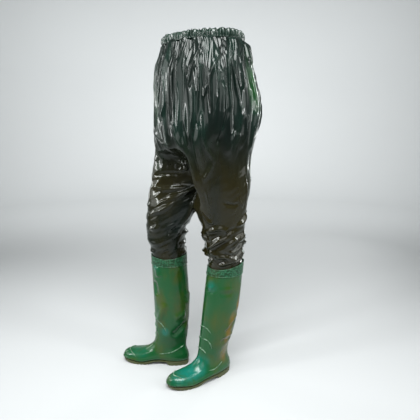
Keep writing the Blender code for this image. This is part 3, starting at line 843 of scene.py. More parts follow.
def raised_line(centres, out, width, height, closed=False):
    """A low rounded line on a surface, tapered at its ends unless it closes on itself."""
    centres, out = np.asarray(centres), np.asarray(out)
    count = len(centres)
    if closed:
        ahead = np.roll(centres, -1, axis=0) - np.roll(centres, 1, axis=0)
        full = np.ones(count)
    else:
        ahead = np.gradient(centres, axis=0)
        t = np.linspace(0, 1, count)
        full = np.maximum(LINE_THIN, smooth(t / LINE_TAPER) * smooth((1 - t) / LINE_TAPER))
    across = np.cross(ahead, out)
    across /= np.linalg.norm(across, axis=1, keepdims=True)
    section = [(math.cos(a), math.sin(a)) for a in np.linspace(0, math.pi, LINE_POINTS)]
    section += [(-1.0, -LINE_FOOT), (1.0, -LINE_FOOT)]
    lines = [
        centres + across * (width * c * full)[:, None] + out * (height * s * full - LINE_SET)[:, None]
        for c, s in section
    ]
    points = np.stack(lines, axis=1).reshape(-1, 3)
    faces = [list(face) for face in ring_faces(count, len(section), closed=closed)]
    if not closed:
        last = len(points) - len(section)
        faces += [list(range(len(section)))[::-1], list(range(last, len(points)))]
    return points, faces


def joined_blocks(blocks):
    """Several blocks of points and faces as one."""
    points, faces, first = [], [], 0
    for block, sides in blocks:
        points.append(block)
        faces += [[i + first for i in face] for face in sides]
        first += len(block)
    return np.concatenate(points), faces


def walled(made, thickness):
    """Gives a skin its thickness, on the inside."""
    wall = made.modifiers.new("wall", "SOLIDIFY")
    wall.thickness = thickness
    wall.offset = -1.0


class Shade:
    """A number that changes over a surface."""

    def __init__(self, finish, socket):
        self.finish = finish
        self.socket = socket

    def maths(self, operation, first, second):
        node = self.finish.node("ShaderNodeMath", {"operation": operation}, {0: first, 1: second})
        return Shade(self.finish, node.outputs[0])

    def __add__(self, other):
        return self.maths("ADD", self, other)

    def __radd__(self, other):
        return self.maths("ADD", other, self)

    def __sub__(self, other):
        return self.maths("SUBTRACT", self, other)

    def __rsub__(self, other):
        return self.maths("SUBTRACT", other, self)

    def __mul__(self, other):
        return self.maths("MULTIPLY", self, other)

    def __rmul__(self, other):
        return self.maths("MULTIPLY", other, self)


class Finish:
    """A material made of nodes round one Principled shader."""

    def __init__(self, name):
        self.material = bpy.data.materials.new(name)
        self.material.use_nodes = True
        self.tree = self.material.node_tree
        self.shader = self.tree.nodes["Principled BSDF"]
        self.place = self.node("ShaderNodeTexCoord").outputs["Object"]

    def node(self, kind, settings=None, sockets=None):
        made = self.tree.nodes.new(kind)
        for key, value in (settings or {}).items():
            setattr(made, key, value)
        for key, value in (sockets or {}).items():
            self.feed(made.inputs[key], value)
        return made

    def feed(self, target, value):
        value = value.socket if isinstance(value, Shade) else value
        if isinstance(value, bpy.types.NodeSocket):
            self.tree.links.new(value, target)
        elif hasattr(target.default_value, "__len__") and len(target.default_value) == 4:
            target.default_value = (*value[:3], 1.0)
        else:
            target.default_value = value

    def set(self, sockets):
        for key, value in sockets.items():
            self.feed(self.shader.inputs[key], value)

    def grain(self, scale, stretch=(1.0, 1.0, 1.0), detail=3.0, warp=0.0):
        """Cloudy variation from 0 to 1, scale being lumps per metre."""
        place = self.node("ShaderNodeMapping", None, {"Vector": self.place, "Scale": stretch})
        sockets = {"Vector": place.outputs[0], "Scale": scale, "Detail": detail, "Distortion": warp}
        return Shade(self, self.node("ShaderNodeTexNoise", None, sockets).outputs["Fac"])

    def cells(self, scale, stretch=(1.0, 1.0, 1.0), feature="F1", warp=0.0):
        """Distance inside small cells, scale being cells per metre and warp their bend in metres."""
        place = self.node("ShaderNodeMapping", None, {"Vector": self.place, "Scale": stretch}).outputs[0]
        if warp:
            bent = self.node("ShaderNodeTexNoise", None, {"Vector": place, "Scale": 0.6 * scale})
            bent = self.node(
                "ShaderNodeVectorMath", {"operation": "SCALE"}, {0: bent.outputs["Color"], "Scale": warp}
            )
            place = self.node("ShaderNodeVectorMath", {"operation": "ADD"}, {0: place, 1: bent.outputs[0]})
            place = place.outputs[0]
        sockets = {"Vector": place, "Scale": scale}
        made = self.node("ShaderNodeTexVoronoi", {"feature": feature}, sockets)
        return Shade(self, made.outputs["Distance"])

    def step(self, value, low, high):
        """An even step from 0 to 1 as the value goes from low to high."""
        sockets = {"Value": value, "From Min": low, "From Max": high}
        made = self.node("ShaderNodeMapRange", {"interpolation_type": "SMOOTHSTEP"}, sockets)
        return Shade(self, made.outputs[0])

    def height(self):
        """Height over the floor."""
        return Shade(self, self.node("ShaderNodeSeparateXYZ", None, {0: self.place}).outputs["Z"])

    def patch(self, centre, reach):
        """A soft patch round a place: 1 in its middle, 0 outside its reach."""
        apart = self.node("ShaderNodeVectorMath", {"operation": "SUBTRACT"}, {0: self.place, 1: centre})
        size = tuple(1 / r for r in reach)
        scaled = self.node(
            "ShaderNodeVectorMath", {"operation": "MULTIPLY"}, {0: apart.outputs[0], 1: size}
        )
        away = self.node("ShaderNodeVectorMath", {"operation": "LENGTH"}, {0: scaled.outputs[0]})
        return 1 - self.step(Shade(self, away.outputs["Value"]), 0.25, 1.0)

    def blend(self, share, first, second):
        """A colour between two others."""
        made = self.node("ShaderNodeMix", {"data_type": "RGBA"}, {0: share, 6: first, 7: second})
        return made.outputs[2]

    def relief(self, value, depth, strength):
        """Small relief of the given depth in metres."""
        sockets = {"Height": value, "Distance": depth, "Strength": strength}
        return self.node("ShaderNodeBump", None, sockets).outputs[0]


def film_finish(settings):
    """Glossy dark film, greener above, browner on the thighs, painted backlight green at two edges."""
    film = Finish("film")
    z = film.height()
    clouds = film.grain(5.0, stretch=(1.0, 1.0, 0.45), detail=4.0, warp=0.4)
    streaks = film.grain(26.0, stretch=(1.0, 1.0, 0.16))
    lower = film.blend(film.step(clouds, 0.26, 0.48), settings.dark, settings.brown)
    upper = film.blend(film.step(streaks, 0.42, 0.66), settings.dark, settings.green)
    colour = film.blend(film.step(z + 0.25 * clouds, *UPPER_FILM), lower, upper)
    hip, fly, bunched = (film.patch(*patch) for patch in (HIP_BACKLIGHT, FLY_BACKLIGHT, BUNCH_GLOSS))
    # Painted backlight: green painted at the hip and the fly, where light would shine through the film.
    painted_backlight = (0.9 * hip + 0.5 * fly) * film.step(streaks, 0.30, 0.62)
    colour = film.blend(0.9 * bunched, film.blend(painted_backlight, colour, settings.painted_backlight), settings.umber)
    facets = film.cells(19.0, stretch=(1.0, 1.0, 0.10), feature="DISTANCE_TO_EDGE", warp=0.034)
    small = film.cells(52.0, stretch=(1.0, 1.0, 0.22), feature="DISTANCE_TO_EDGE", warp=0.014)
    folds = 0.08 + 0.92 * film.step(z + 0.42 * clouds, *FACET_FILM)
    film.set({
        "Base Color": colour,
        "Roughness": 0.17 + 0.16 * clouds + 0.20 * painted_backlight,
        "Coat Weight": 0.44 + 0.40 * bunched,
        "Normal": film.relief(folds * (2.8 * facets + 0.5 * small), FACET_DEPTH, strength=0.8),
        "Specular IOR Level": 0.09,
        "Specular Tint": FILM_TINT,
        "Coat Roughness": 0.05,
        "Coat Tint": FILM_TINT,
    })
    return film.material


def rubber_finish(settings, name, spots, band):
    """Glossy green boot rubber: olive and ochre wear, teal painted sheen, a stippled band below the rim.
    """
    rubber = Finish(f"boot_rubber_{name}")
    clouds = rubber.grain(11.0, stretch=(1.0, 1.0, 0.7), detail=4.0, warp=0.6)
    smear = rubber.grain(38.0, stretch=(1.0, 1.0, 0.4), detail=4.0, warp=0.8)
    fine = rubber.grain(260.0)
    colour = rubber.blend(rubber.step(clouds, 0.44, 0.72), settings.green, settings.olive)
    # The tints: olive and ochre wear, and teal painted sheen where light catches the rubber.
    for tint, spot in spots:
        share = rubber.patch(spot, (tint.reach, tint.reach, tint.tall))
        share = tint.share * share * rubber.step(smear, 0.15, 0.70)
        colour = rubber.blend(share, colour, getattr(settings, tint.colour))
    edge = rubber.height() + BAND_WANDER * smear
    weld = rubber.step(edge, band + BAND_EDGE[0], band + BAND_EDGE[1])
    # Painted shade: the stipple's sunk pits take a darker colour as well as their relief.
    stipple = rubber.step(rubber.cells(150.0), 0.30, 0.62)
    colour = rubber.blend(0.7 * weld, colour, rubber.blend(stipple, settings.band, settings.painted_pit_shade))
    relief = GRAIN_DEPTH * fine - STIPPLE_DEPTH * weld * stipple
    rubber.set({
        "Base Color": colour,
        "Roughness": 0.14 + 0.14 * clouds + 0.14 * weld,
        "Normal": rubber.relief(relief, depth=1.0, strength=0.8),
        "Specular IOR Level": 0.38,
    })
    return rubber.material


def rib_highlight_finish(settings):
    """Boot rubber painted pale along the crests of its ribs: a painted highlight."""
    rib_highlight = Finish("rib_painted_highlight")
    highlight_breakup = rib_highlight.grain(90.0)
    colour = rib_highlight.blend(rib_highlight.step(highlight_breakup, 0.35, 0.65), settings.green, settings.crest)
    rib_highlight.set({"Base Color": colour, "Roughness": 0.22 + 0.16 * highlight_breakup})
    return rib_highlight.material


def sole_finish(settings):
    """Dull olive sole rubber with scuffs."""
    sole = Finish("sole_rubber")
    scuff = sole.grain(60.0, stretch=(1.0, 1.0, 3.0), detail=4.0)
    colour = sole.blend(sole.step(scuff, 0.45, 0.75), settings.sole, settings.olive)
    sole.set({
        "Base Color": colour,
        "Roughness": 0.42 + 0.25 * scuff,
        "Normal": sole.relief(sole.grain(500.0), SOLE_GRAIN_DEPTH, strength=0.4),
    })
    return sole.material


def insole_finish(settings):
    """Pale foam with a woven face."""
    foam = Finish("insole_foam")
    weave = foam.cells(700.0)
    foam.set({
        "Base Color": foam.blend(weave, settings.insole, settings.weave),
        "Roughness": 0.8 + 0.1 * weave,
        "Normal": foam.relief(weave, WEAVE_DEPTH, strength=0.5),
    })
    return foam.material


def waist_rise(turn):
    """How much higher the waist is at the sides and back than in front."""
    even = WAIST_RISE_SIDE * np.sin(turn) ** 2 + WAIST_RISE_BACK * (1 - np.cos(turn)) / 2
    return even + WAIST_SWAY * np.cos(turn + WAIST_SWAY_TURN) ** 2


def rippled(turn, ripples):
    """The sum of some waves round the waist."""
    return sum(
        wave.size * np.sin(wave.waves * turn + wave.start + wave.bend * np.sin(wave.bend_waves * turn))
        for wave in ripples
    )


def trunk_row(row, sign, columns):
    """Half of a trunk ring, from the centre front to the centre back."""
    turn = math.pi * columns / HALF
    index = columns if sign > 0 else 2 * HALF - columns
    top = TRUNK[0].z
    hang = PLEAT_START + (1 - PLEAT_START) * smooth((top - row.z) / PLEAT_DEEPEN)
    hang = hang * smooth((row.z - PLEAT_END) / PLEAT_FADE)
    uneven = [math.sin(PLEAT_SHIFT * (n % PLEATS)) for n in range(PLEATS + 1)]
    uneven = np.interp(index * PLEATS / (2 * HALF), range(PLEATS + 1), uneven)
    depth = PLEAT_DEPTH * (1 - PLEAT_UNEVEN + PLEAT_UNEVEN * uneven)
    fold = depth * hang * np.cos(math.pi * PLEATS * index / HALF)
    rise = smooth((row.z - RISE_START) / (top - RISE_START))
    x = sign * (row.half + fold) * np.sin(turn)
    y = -row.ahead - (row.deep + fold) * np.cos(turn)
    return np.stack([x, y, row.z + rise * waist_rise(sign * turn)], axis=-1)


def leg_row(row, sign, columns):
    """A ring of a leg, starting on the inner front, round by the outer side."""
    turn = 2 * math.pi * (columns - FRONT_COLUMN) / ROUND
    x = row.across + sign * row.half * np.sin(turn)
    y = -row.ahead - row.deep * np.cos(turn)
    return np.stack([x, y, np.full_like(turn, row.z)], axis=-1)


def mixed(first, second, share):
    """Places part of the way from one row to another."""
    return first + (second - first) * np.asarray(share)[..., None]


def crotch_row(row, sign, columns):
    """The outer part of the ring where a leg leaves the trunk, drawn to both ends of the seam."""
    ring = leg_row(row, sign, columns)
    to_front = np.maximum(0.0, 1 - columns / FRONT_COLUMN) ** DRAW_POWER
    to_back = np.maximum(0.0, 1 - (HALF - columns) / FRONT_COLUMN) ** DRAW_POWER
    return mixed(mixed(ring, np.array(CROTCH_FRONT), to_front), np.array(CROTCH_BACK), to_back)


def spread(rows, end):
    """Trunk places drawn toward the leg below them as the legs come near."""
    share = smooth((SPREAD_START - rows[..., 2]) / (SPREAD_START - end[..., 2]))
    target = np.concatenate([end[..., :2], rows[..., 2:]], axis=-1)
    return mixed(rows, target, share)


def eased(ring, above, share, columns):
    """A leg ring whose inner side is drawn toward the seam above it and hangs lower there."""
    inner = share * np.maximum(0.0, -np.sin(2 * math.pi * (columns - FRONT_COLUMN) / ROUND))
    target = np.concatenate([above[:, :2], ring[:, 2:]], axis=-1)
    drawn = mixed(ring, target, inner)
    drawn[:, 2] -= INNER_DROP * inner
    return drawn


BOOT_TABLE = {name: np.array([getattr(row, name) for row in BOOT]) for name in Ring._fields}


def foot_line(ahead, side, z):
    """Curves a place of the left boot inward at the toe and under the arch."""
    swing = TOE_SWING * np.maximum(0.0, (ahead - SWING_START) / SWING_SPAN) ** 2
    swing = swing * np.clip(1 - np.maximum(0.0, z - SWING_TOP) / FOOT_FADE, 0.0, 1.0)
    low = np.clip(1 - np.maximum(0.0, z - ARCH_FOOT) / FOOT_FADE, 0.0, 1.0)
    arch = ARCH_IN * low * np.exp(-(((ahead - ARCH_AT) / ARCH_SPAN) ** 2)) * (side < 0)
    return side + arch - swing


def tread_dip(ahead):
    """How far the foot drops under the ball."""
    return TREAD_DIP * np.exp(-(((ahead - TREAD_DIP_AT) / TREAD_DIP_SPAN) ** 2))


def lifted(z, stand):
    """A height of the shaft, taken to the rim height of one boot."""
    return np.where(z < ANKLE, z, ANKLE + (z - ANKLE) * (stand.rim - ANKLE) / (RIM - ANKLE))


def boot_rows(stand, turns, knots, levels, inset=0.0, stepped=True):
    """Rings of the left boot: from the toe, by the outer side and the heel, to the inner side."""
    row = {name: through(knots, values, levels)[:, None] for name, values in BOOT_TABLE.items()}
    out = np.full((len(levels), 1), -inset)
    if stepped:
        foot = smooth(levels / knots[1]) * (1 - smooth((levels - knots[GUARD_RING]) / STEP_EDGE))
        band = smooth((levels - knots[BAND_RING]) / STEP_EDGE)
        out = out + (GUARD_STEP * foot + BAND_STEP * band)[:, None]
    front, back, half = row["front"] + out, row["back"] - out, row["half"] + out
    wide = back + row["widest"] * (front - back)
    c, s = np.cos(turns)[None], np.sin(turns)[None]
    power = 2 / np.where(c > 0, row["toe_n"], row["heel_n"])
    ahead = wide + (np.where(c > 0, front, back) - wide) * np.abs(c) ** power
    side = np.sign(s) * half * np.abs(s) ** power
    along = (ahead - back) / (front - back)
    z = bend(row["front_z"], row["side_z"], row["back_z"], along) - row["hug"] * tread_dip(ahead)
    side = foot_line(ahead, side, z)
    z = lifted(z, stand)
    rise = np.maximum(0.0, z - ANKLE) / (stand.rim - ANKLE)
    return np.stack([side + stand.lean_side * rise, -ahead - stand.lean_ahead * rise, z], axis=-1)


def stood(points, stand):
    """Takes places of a left boot to where one boot stands."""
    angle = math.radians(stand.turn_deg)
    c, s = math.cos(angle), math.sin(angle)
    x, y, z = points[..., 0] * stand.sign, points[..., 1], points[..., 2]
    moved = np.stack([stand.x + c * x - s * y, stand.y + s * x + c * y, z], axis=-1)
    return moved + HIP_AXIS


def boot_knots(stand):
    """Knots of the boot's rings, as far apart as the rings are."""
    turns = 2 * math.pi * np.arange(ROUND) / ROUND
    level = np.arange(len(BOOT), dtype=float)
    return rows_apart(boot_rows(stand, turns, level, level, stepped=False))


def hem_row(stand, inset, z, columns):
    """A ring of a leg that follows the boot's rim."""
    turns = 2 * math.pi * (columns - FRONT_COLUMN) / ROUND
    level = np.arange(len(BOOT), dtype=float)
    ring = boot_rows(stand, turns, level, level[-1:], inset, stepped=False)[0]
    ring = stood(ring, stand) - HIP_AXIS
    ring[:, 2] = z
    return ring


def trouser_rows(wall):
    """Each half's rows from waist to hem, with its leg's inner columns and its count of trunk rows."""
    outer = np.arange(HALF * FINE + 1) / FINE
    whole = np.arange(ROUND * FINE) / FINE
    inner = whole[len(outer):]
    crotch = {n: crotch_row(LEGS[n][0], STANDS[n].sign, outer) for n in SIDES}
    trunk = {
        n: np.stack([spread(trunk_row(row, STANDS[n].sign, outer), crotch[n]) for row in TRUNK])
        for n in SIDES
    }
    thighs = {n: leg_row(LEGS[n][1], STANDS[n].sign, outer) for n in SIDES}
    for j in (0, -1):
        thighs["left"][j] = thighs["right"][j] = (thighs["left"][j] + thighs["right"][j]) / 2
    m = (inner - HALF) / SEAM
    seam = np.stack(
        [bend(f, low, b, m) for f, low, b in zip(CROTCH_FRONT, CROTCH_LOW, CROTCH_BACK)], axis=-1
    )
    rows = {}
    for n in SIDES:
        stand = STANDS[n]
        half_way = (9 * (trunk[n][-1] + crotch[n]) - trunk[n][-2] - thighs[n]) / 16
        top = np.concatenate([crotch[n], seam])
        legs = [leg_row(row, stand.sign, whole) for row in LEGS[n][1:]]
        for k, share in enumerate(SEAM_DRAW):
            legs[k] = eased(legs[k], top, share, whole)
        inside = wall + SEAT_GAP + BAND_STEP
        legs.append(hem_row(stand, HEM_INSET, stand.rim + HEM_OVER, whole))
        legs.append(hem_row(stand, inside - 0.5 * BAND_STEP, stand.rim, whole))
        legs.append(hem_row(stand, inside, stand.rim - HEM_LAP, whole))
        legs = np.stack([top, *legs])
        above = np.concatenate([trunk[n], half_way[None]])
        keys = np.concatenate([above, legs[:, : len(outer)]])
        rows[n] = (keys, legs[:, len(outer):], len(above))
    return rows


def trouser_grid(wall):
    """Points, the faces of each side, and its rows: the outer columns and the leg's whole rings."""
    rows = trouser_rows(wall)
    keys = {n: rows[n][0] for n in SIDES}
    count = rows["left"][2]
    knots = rows_apart((keys["left"] + keys["right"]) / 2)
    steps = [TRUNK_STEP] * count + list(LEG_STEPS)
    levels = divided(knots, steps)
    first = int(np.searchsorted(levels, knots[count] - 1e-9))
    points, faces, grids = [], {n: [] for n in SIDES}, {}
    numbers = 0

    def add(block):
        nonlocal numbers
        points.append(block.reshape(-1, 3))
        made = np.arange(numbers, numbers + block.size // 3).reshape(block.shape[:-1])
        numbers += block.size // 3
        return made

    seam = None
    joined = {}
    for n in SIDES:
        flip = STANDS[n].sign < 0
        full = through(knots, keys[n], levels)
        if n == "left":
            index = add(full)
        else:
            index = np.empty(full.shape[:2], int)
            index[:, 1:-1] = add(full[:, 1:-1])
            upto = first + 1
            index[:upto, 0], index[:upto, -1] = joined["left"][:upto, 0], joined["left"][:upto, -1]
            for column in (0, -1):
                index[upto:, column] = add(full[upto:, column])
        joined[n] = index
        for k in range(first):
            faces[n].append(quads(index[k + 1], index[k], flip))
        leg = through(knots[count:] - knots[count], rows[n][1], levels[first:] - knots[count])
        low = add(leg[1:])
        if seam is None:
            seam = add(leg[0])
        inside = np.concatenate([seam[None], low])
        ring = np.concatenate([index[first:], inside, index[first:, :1]], axis=1)
        for k in range(len(ring) - 1):
            faces[n].append(quads(ring[k + 1], ring[k], flip))
        grids[n] = (index, ring[:, :-1])
    faces = {n: np.concatenate(faces[n]) for n in SIDES}
    return np.concatenate(points) + HIP_AXIS, faces, grids


def nth(span, number):
    """The value in a spread that belongs to a number."""
    return span.low + (span.high - span.low) * (number * span.rate % 1.0)


def hanging_pleats(settings):
    """Pleats that run down from the waist, spaced unevenly all round."""
    pleats = []
    for n in range(settings.pleats):
        place = 2 * HALF * (n + nth(PLEAT_PLACE, n)) / settings.pleats
        long = nth(PLEAT_LONG if n % 2 else PLEAT_SHORT, n)
        lean = nth(PLEAT_LEAN, n) * long / PLEAT_LEAN_AT
        middle = place + lean / 2 + nth(PLEAT_BOW, n)
        top = TRUNK[0].z + PLEAT_ABOVE
        path = [(place, top), (middle, top - long / 2), (place + lean, top - long)]
        side = "left" if place + lean < HALF else "right"
        if side == "right":
            path = [(2 * HALF - column, z) for column, z in path]
        path = [(min(max(column, 0.0), HALF), z) for column, z in path]
        tall = settings.gather_depth * nth(PLEAT_TALL, n)
        pleats.append(Crease(side, path, nth(PLEAT_WIDTH, n), tall))
    return pleats


def leg_rolls():
    """Rolls of film round the sides of the legs that the table of creases leaves plain."""
    rolls = []
    for side, plain in PLAIN_COLUMNS.items():
        foot = STANDS[side].rim + ROLL_FOOT
        for n in range(ROLLS):
            z = foot + ROLL_REACH * nth(ROLL_PLACE, n) ** ROLL_CROWD
            start, span = nth(plain, n), nth(ROLL_SPAN, n)
            end = z + nth(ROLL_RISE, n)
            path = [(start, z), (start + span / 2, end - ROLL_SAG), (start + span, end)]
            rolls.append(Crease(side, path, ROLL_WIDTH, nth(ROLL_TALL, n)))
        for n in range(SLANTS):
            z = nth(SLANT_PLACE, n)
            start = nth(plain._replace(rate=SLANT_RATE), n)
            path = [(start + across, z + up) for across, up in SLANT_PATH]
            rolls.append(Crease(side, path, SLANT_WIDTH, nth(SLANT_TALL, n)))
    return rolls


def crumpled(points, settings):
    """Small sharp creases all over the film: upright on the trunk, rising to the back on the legs."""
    z = points[:, 2]
    trunk = smooth((z - UPRIGHT_FROM) / UPRIGHT_SPAN)
    bunch = smooth((BUNCH_TOP - z) / BUNCH_FADE)
    left, right = (CRUMPLES[n].plain + CRUMPLES[n].bunched * bunch for n in SIDES)
    leg = np.where(points[:, 0] > LEGS_APART, left, right)
    strength = leg + (1 - leg) * smooth((z - FULL_FROM) / FULL_SPAN)
    push = np.zeros(len(points))
    for k, (x, y, z) in enumerate(points):
        lean = UPRIGHT_LEAN * z
        upright = Vector((x * UPRIGHT_ACROSS + lean, y * UPRIGHT_ACROSS, z * UPRIGHT_ALONG))
        slope = z - RISING_SLOPE * y
        rising = Vector((x * RISING_ACROSS, y * RISING_ACROSS, slope * RISING_ALONG))
        for creases in CREASE_SETS:
            if trunk[k] > 0:
                ridge = CRUMPLE_LEVEL - abs(noise.noise(upright * creases.finer))
                push[k] += creases.trunk * trunk[k] * ridge
            if trunk[k] < 1:
                ridge = CRUMPLE_LEVEL - abs(noise.noise(rising * creases.finer))
                push[k] += creases.leg * (1 - trunk[k]) * ridge
    return settings.crumple * strength * push


def hollowed(points, grids):
    """How far back the film lies in the hollow between the thighs, in front of the crotch seam."""
    back = np.zeros(len(points))
    for n in SIDES:
        hollow = HOLLOWS[n]
        for grid in grids[n]:
            column = np.arange(grid.shape[1]) / FINE
            column = np.where(column > HALF, column - ROUND, column)
            share = 1 - smooth((column - hollow.full) / (hollow.end - hollow.full))
            share = share * smooth((column + hollow.inner) / (0.8 * hollow.inner))
            z = points[grid][..., 2]
            level = smooth((HOLLOW_TOP - z) / HOLLOW_EDGE) * smooth((z - HOLLOW_FOOT) / HOLLOW_FADE)
            back[grid] = np.maximum(back[grid], HOLLOW_DEPTH * share[None] * level)
    return back


def closed_sheet(points, faces, normals, thickness):
    """A sheet with its inner face and its edges, so that it has a thickness."""
    used, faces = np.unique(faces, return_inverse=True)
    faces = faces.reshape(-1, 4)
    outer, facing = points[used], normals[used]
    edges = np.concatenate([faces[:, [k, (k + 1) % 4]] for k in range(4)])
    low, high = edges.min(axis=1), edges.max(axis=1)
    _, which, count = np.unique(low * len(used) + high, return_inverse=True, return_counts=True)
    rim = edges[count[which] == 1]
    rim = np.concatenate([rim[:, ::-1], rim + len(used)], axis=1)
    skin = np.concatenate([outer, outer - facing * thickness])
    faces = np.concatenate([faces, faces[:, ::-1] + len(used), rim])
    return skin, faces, np.concatenate([facing, -facing])


def casing_rings(settings):
    """The rings of the waist casing, from its outer foot over its top to its inner foot."""
    count = settings.gathers * GATHER_POINTS
    turn = 2 * math.pi * np.arange(count) / count
    halves = settings.gathers / 2
    lobe = np.abs(np.sin(halves * turn + rippled(turn, GATHER_SHIFTS))) ** LOBE_POWER
    deep = settings.gather_depth * (GATHER_MEAN + rippled(turn, GATHER_UNEVEN))
    tilt = Ripple(TILT_SIZE * settings.gather_depth, halves, 0.0, TILT_BEND, TILT_BEND_WAVES)
    tilt = rippled(turn, [tilt])
    row = TRUNK[0]
    rings = []
    for depth, height in curved(CASING_SECTION, CASING_POINTS):
        loose = smooth((height - LOOSE_FROM) / LOOSE_SPAN)
        bulge = BULGE * deep * (BULGE_FOOT + (1 - BULGE_FOOT) * loose) * (lobe - BULGE_LOBE)
        out = depth * settings.casing_depth + bulge * np.sign(depth)
        scallop = SCALLOP * deep * (lobe - SCALLOP_LOBE)
        scallop = scallop * smooth((height - SCALLOP_FROM) / SCALLOP_SPAN)
        z = row.z + SEAT_GAP + waist_rise(turn) + height * settings.casing_height + scallop
        slant = turn + tilt * height * loose / WAIST_HALF
        x = (WAIST_HALF + out) * np.sin(slant)
        y = -row.ahead - (WAIST_DEEP + out) * np.cos(slant)
        rings.append(np.stack([x, y, z], axis=-1) + HIP_AXIS)
    return rings


class WADERS_OT_trousers(bpy.types.Operator):
    """Film trousers, two halves welded up the middle: pleated at the waist, bunched above the boots"""

    bl_idname = "waders.trousers"
    bl_label = "Trousers"

    def execute(self, context):
        film, boots = context.scene.waders_film, context.scene.waders_boots
        points, faces, grids = trouser_grid(boots.wall)
        both = np.concatenate([faces[n] for n in SIDES])
        points[:, 1] += hollowed(points, grids)
        ridges, troughs = np.zeros(len(points)), np.zeros(len(points))
        for crease in (*CREASES, *hanging_pleats(film), *leg_rolls()):
            full, leg = (points[grid] for grid in grids[crease.side])
            path = []
            for column, z in curved(crease.path):
                outer = 0 <= column <= HALF and z > LEG_GRID_TOP
                path.append(on_grid(full if outer else leg, column * FINE, z))
            start = crease.path[0][1]
            roll = start < ROLL_TOP
            section = tent if roll else crest
            fade_in = CASING_FADE if start > WAIST_FOOT else CREASE_FADE
            push = pushed(points, path, crease.width, crease.height, section, fade_in, roll)
            ridges, troughs = np.maximum(ridges, push), np.minimum(troughs, push)
        push = crumpled(points, film) + ridges + troughs
        rim = np.where(points[:, 0] > LEGS_APART, STANDS["left"].rim, STANDS["right"].rim)
        push *= smooth((points[:, 2] - rim - RIM_CLEAR) / RIM_FADE)
        push = np.clip(push, DEEPEST, HIGHEST)[:, None]
        points = points + point_normals(points, both) * push
        normals = point_normals(points, both)
        finish = film_finish(film)
        for n in SIDES:
            skin, sides, facing = closed_sheet(points, faces[n], normals, film.thickness)
            half = made_piece(f"trousers_{n}_film", skin, sides, finish, "film", ["trousers"])
            half.data.normals_split_custom_set_from_vertices(facing.tolist())
        return {"FINISHED"}


class WADERS_OT_waist(bpy.types.Operator):
    """Waist: the scrunched casing"""

    bl_idname = "waders.waist"
    bl_label = "Waist"

    def execute(self, context):
        rings = casing_rings(context.scene.waders_film)
        casing = made_piece(
            "waist_casing_film",
            np.concatenate(rings),
            ring_faces(len(rings), len(rings[0]), closed=True),
            bpy.data.materials["film"],
            "film",
            ["waist_casing"],
        )
        return {"FINISHED"}


class WADERS_OT_boots(bpy.types.Operator):
    """Boots: uppers with their foot guard, weld band, dents and moulded ribs"""

    bl_idname = "waders.boots"
    bl_label = "Boots"

    def execute(self, context):
        boots = context.scene.waders_boots
        # The ribs' finish paints a highlight along their crests.
        rib_highlight = rib_highlight_finish(boots)
        for name in SIDES:
            stand = STANDS[name]
            knots = boot_knots(stand)
            levels = divided(knots, [BOOT_STEP] * (len(knots) - 1))
            turns = 2 * math.pi * np.arange(BOOT_ROUND) / BOOT_ROUND
            grid = stood(boot_rows(stand, turns, knots, levels), stand)
            wave = WAVES[name]
            lift = wave.rise * np.cos(turns - math.radians(wave.peak_deg))
            lift = lift - wave.sag * np.cos(2 * (turns - math.radians(wave.low_deg)))
            band = smooth((levels - knots[BAND_RING]) / (knots[-1] - knots[BAND_RING]))
            grid[..., 2] += lift * band[:, None]
            faces = ring_faces(*grid.shape[:2], flip=stand.sign < 0)
            points = grid.reshape(-1, 3)
            normals = point_normals(points, faces)
            push = np.zeros(len(points))
            for dent in DENTS:
                if dent.side == name:
                    path = [
                        on_grid(grid, turn / 360 * BOOT_ROUND, z) for turn, z in curved(dent.path)
                    ]
                    push += pushed(points, path, dent.width, dent.height, dome)
            points = points + normals * push[:, None]
            spots = [
                (tint, on_grid(grid, tint.turn / 360 * BOOT_ROUND, tint.z).tolist())
                for tint in TINTS
                if tint.side == name
            ]
            finish = rubber_finish(boots, name, spots, float(lifted(BOOT[BAND_RING].side_z, stand)))
            upper = made_piece(
                f"boot_{name}_rubber", points, faces, finish, "boot_rubber", [f"boot_upper_{name}"]
            )
            walled(upper, boots.wall)
            shape = points.reshape(grid.shape)
            facing = point_normals(points, faces).reshape(grid.shape)
            self.ribs(name, shape, facing, rib_highlight, boots)
            self.bead(name, shape, facing, levels, knots, finish, boots)
        return {"FINISHED"}

    def ribs(self, name, shape, facing, finish, boots):
        """Moulded ribs over shin, ankle, instep and toe."""
        blocks = []
        for rib in RIBS:
            if rib.side == name:
                places = curved(rib.path, RIB_POINTS)
                columns = places[:, 0] / 360 * BOOT_ROUND
                centres = [on_grid(shape, c, z) for c, z in zip(columns, places[:, 1])]
                out = [near_normal(shape, facing, c) for c in centres]
                blocks.append(raised_line(centres, out, boots.rib_width, boots.rib_height))
        made_piece(f"boot_{name}_ribs", *joined_blocks(blocks), finish, "boot_rubber")

    def bead(self, name, shape, facing, levels, knots, finish, boots):
        """The bead along the lower edge of the weld band."""
        row = int(np.searchsorted(levels, knots[BAND_RING]))
        centres, out = shape[row], facing[row]
        width, height = BEAD_WIDTH * boots.rib_width, BEAD_HEIGHT * boots.rib_height
        points, faces = raised_line(centres, out, width, height, closed=True)
        made_piece(f"boot_{name}_band_bead", points, faces, finish, "boot_rubber")


class WADERS_OT_soles(bpy.types.Operator):
    """Soles and insoles: their finishes"""

    bl_idname = "waders.soles"
    bl_label = "Soles"

    def execute(self, context):
        boots = context.scene.waders_boots
        finishes = {"outsole": sole_finish(boots), "insole": insole_finish(boots)}
        for piece, finish in finishes.items():
            for name in SIDES:
                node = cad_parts[f"{piece}_{name}"]
                node.data.materials.clear()
                node.data.materials.append(finish)
        return {"FINISHED"}


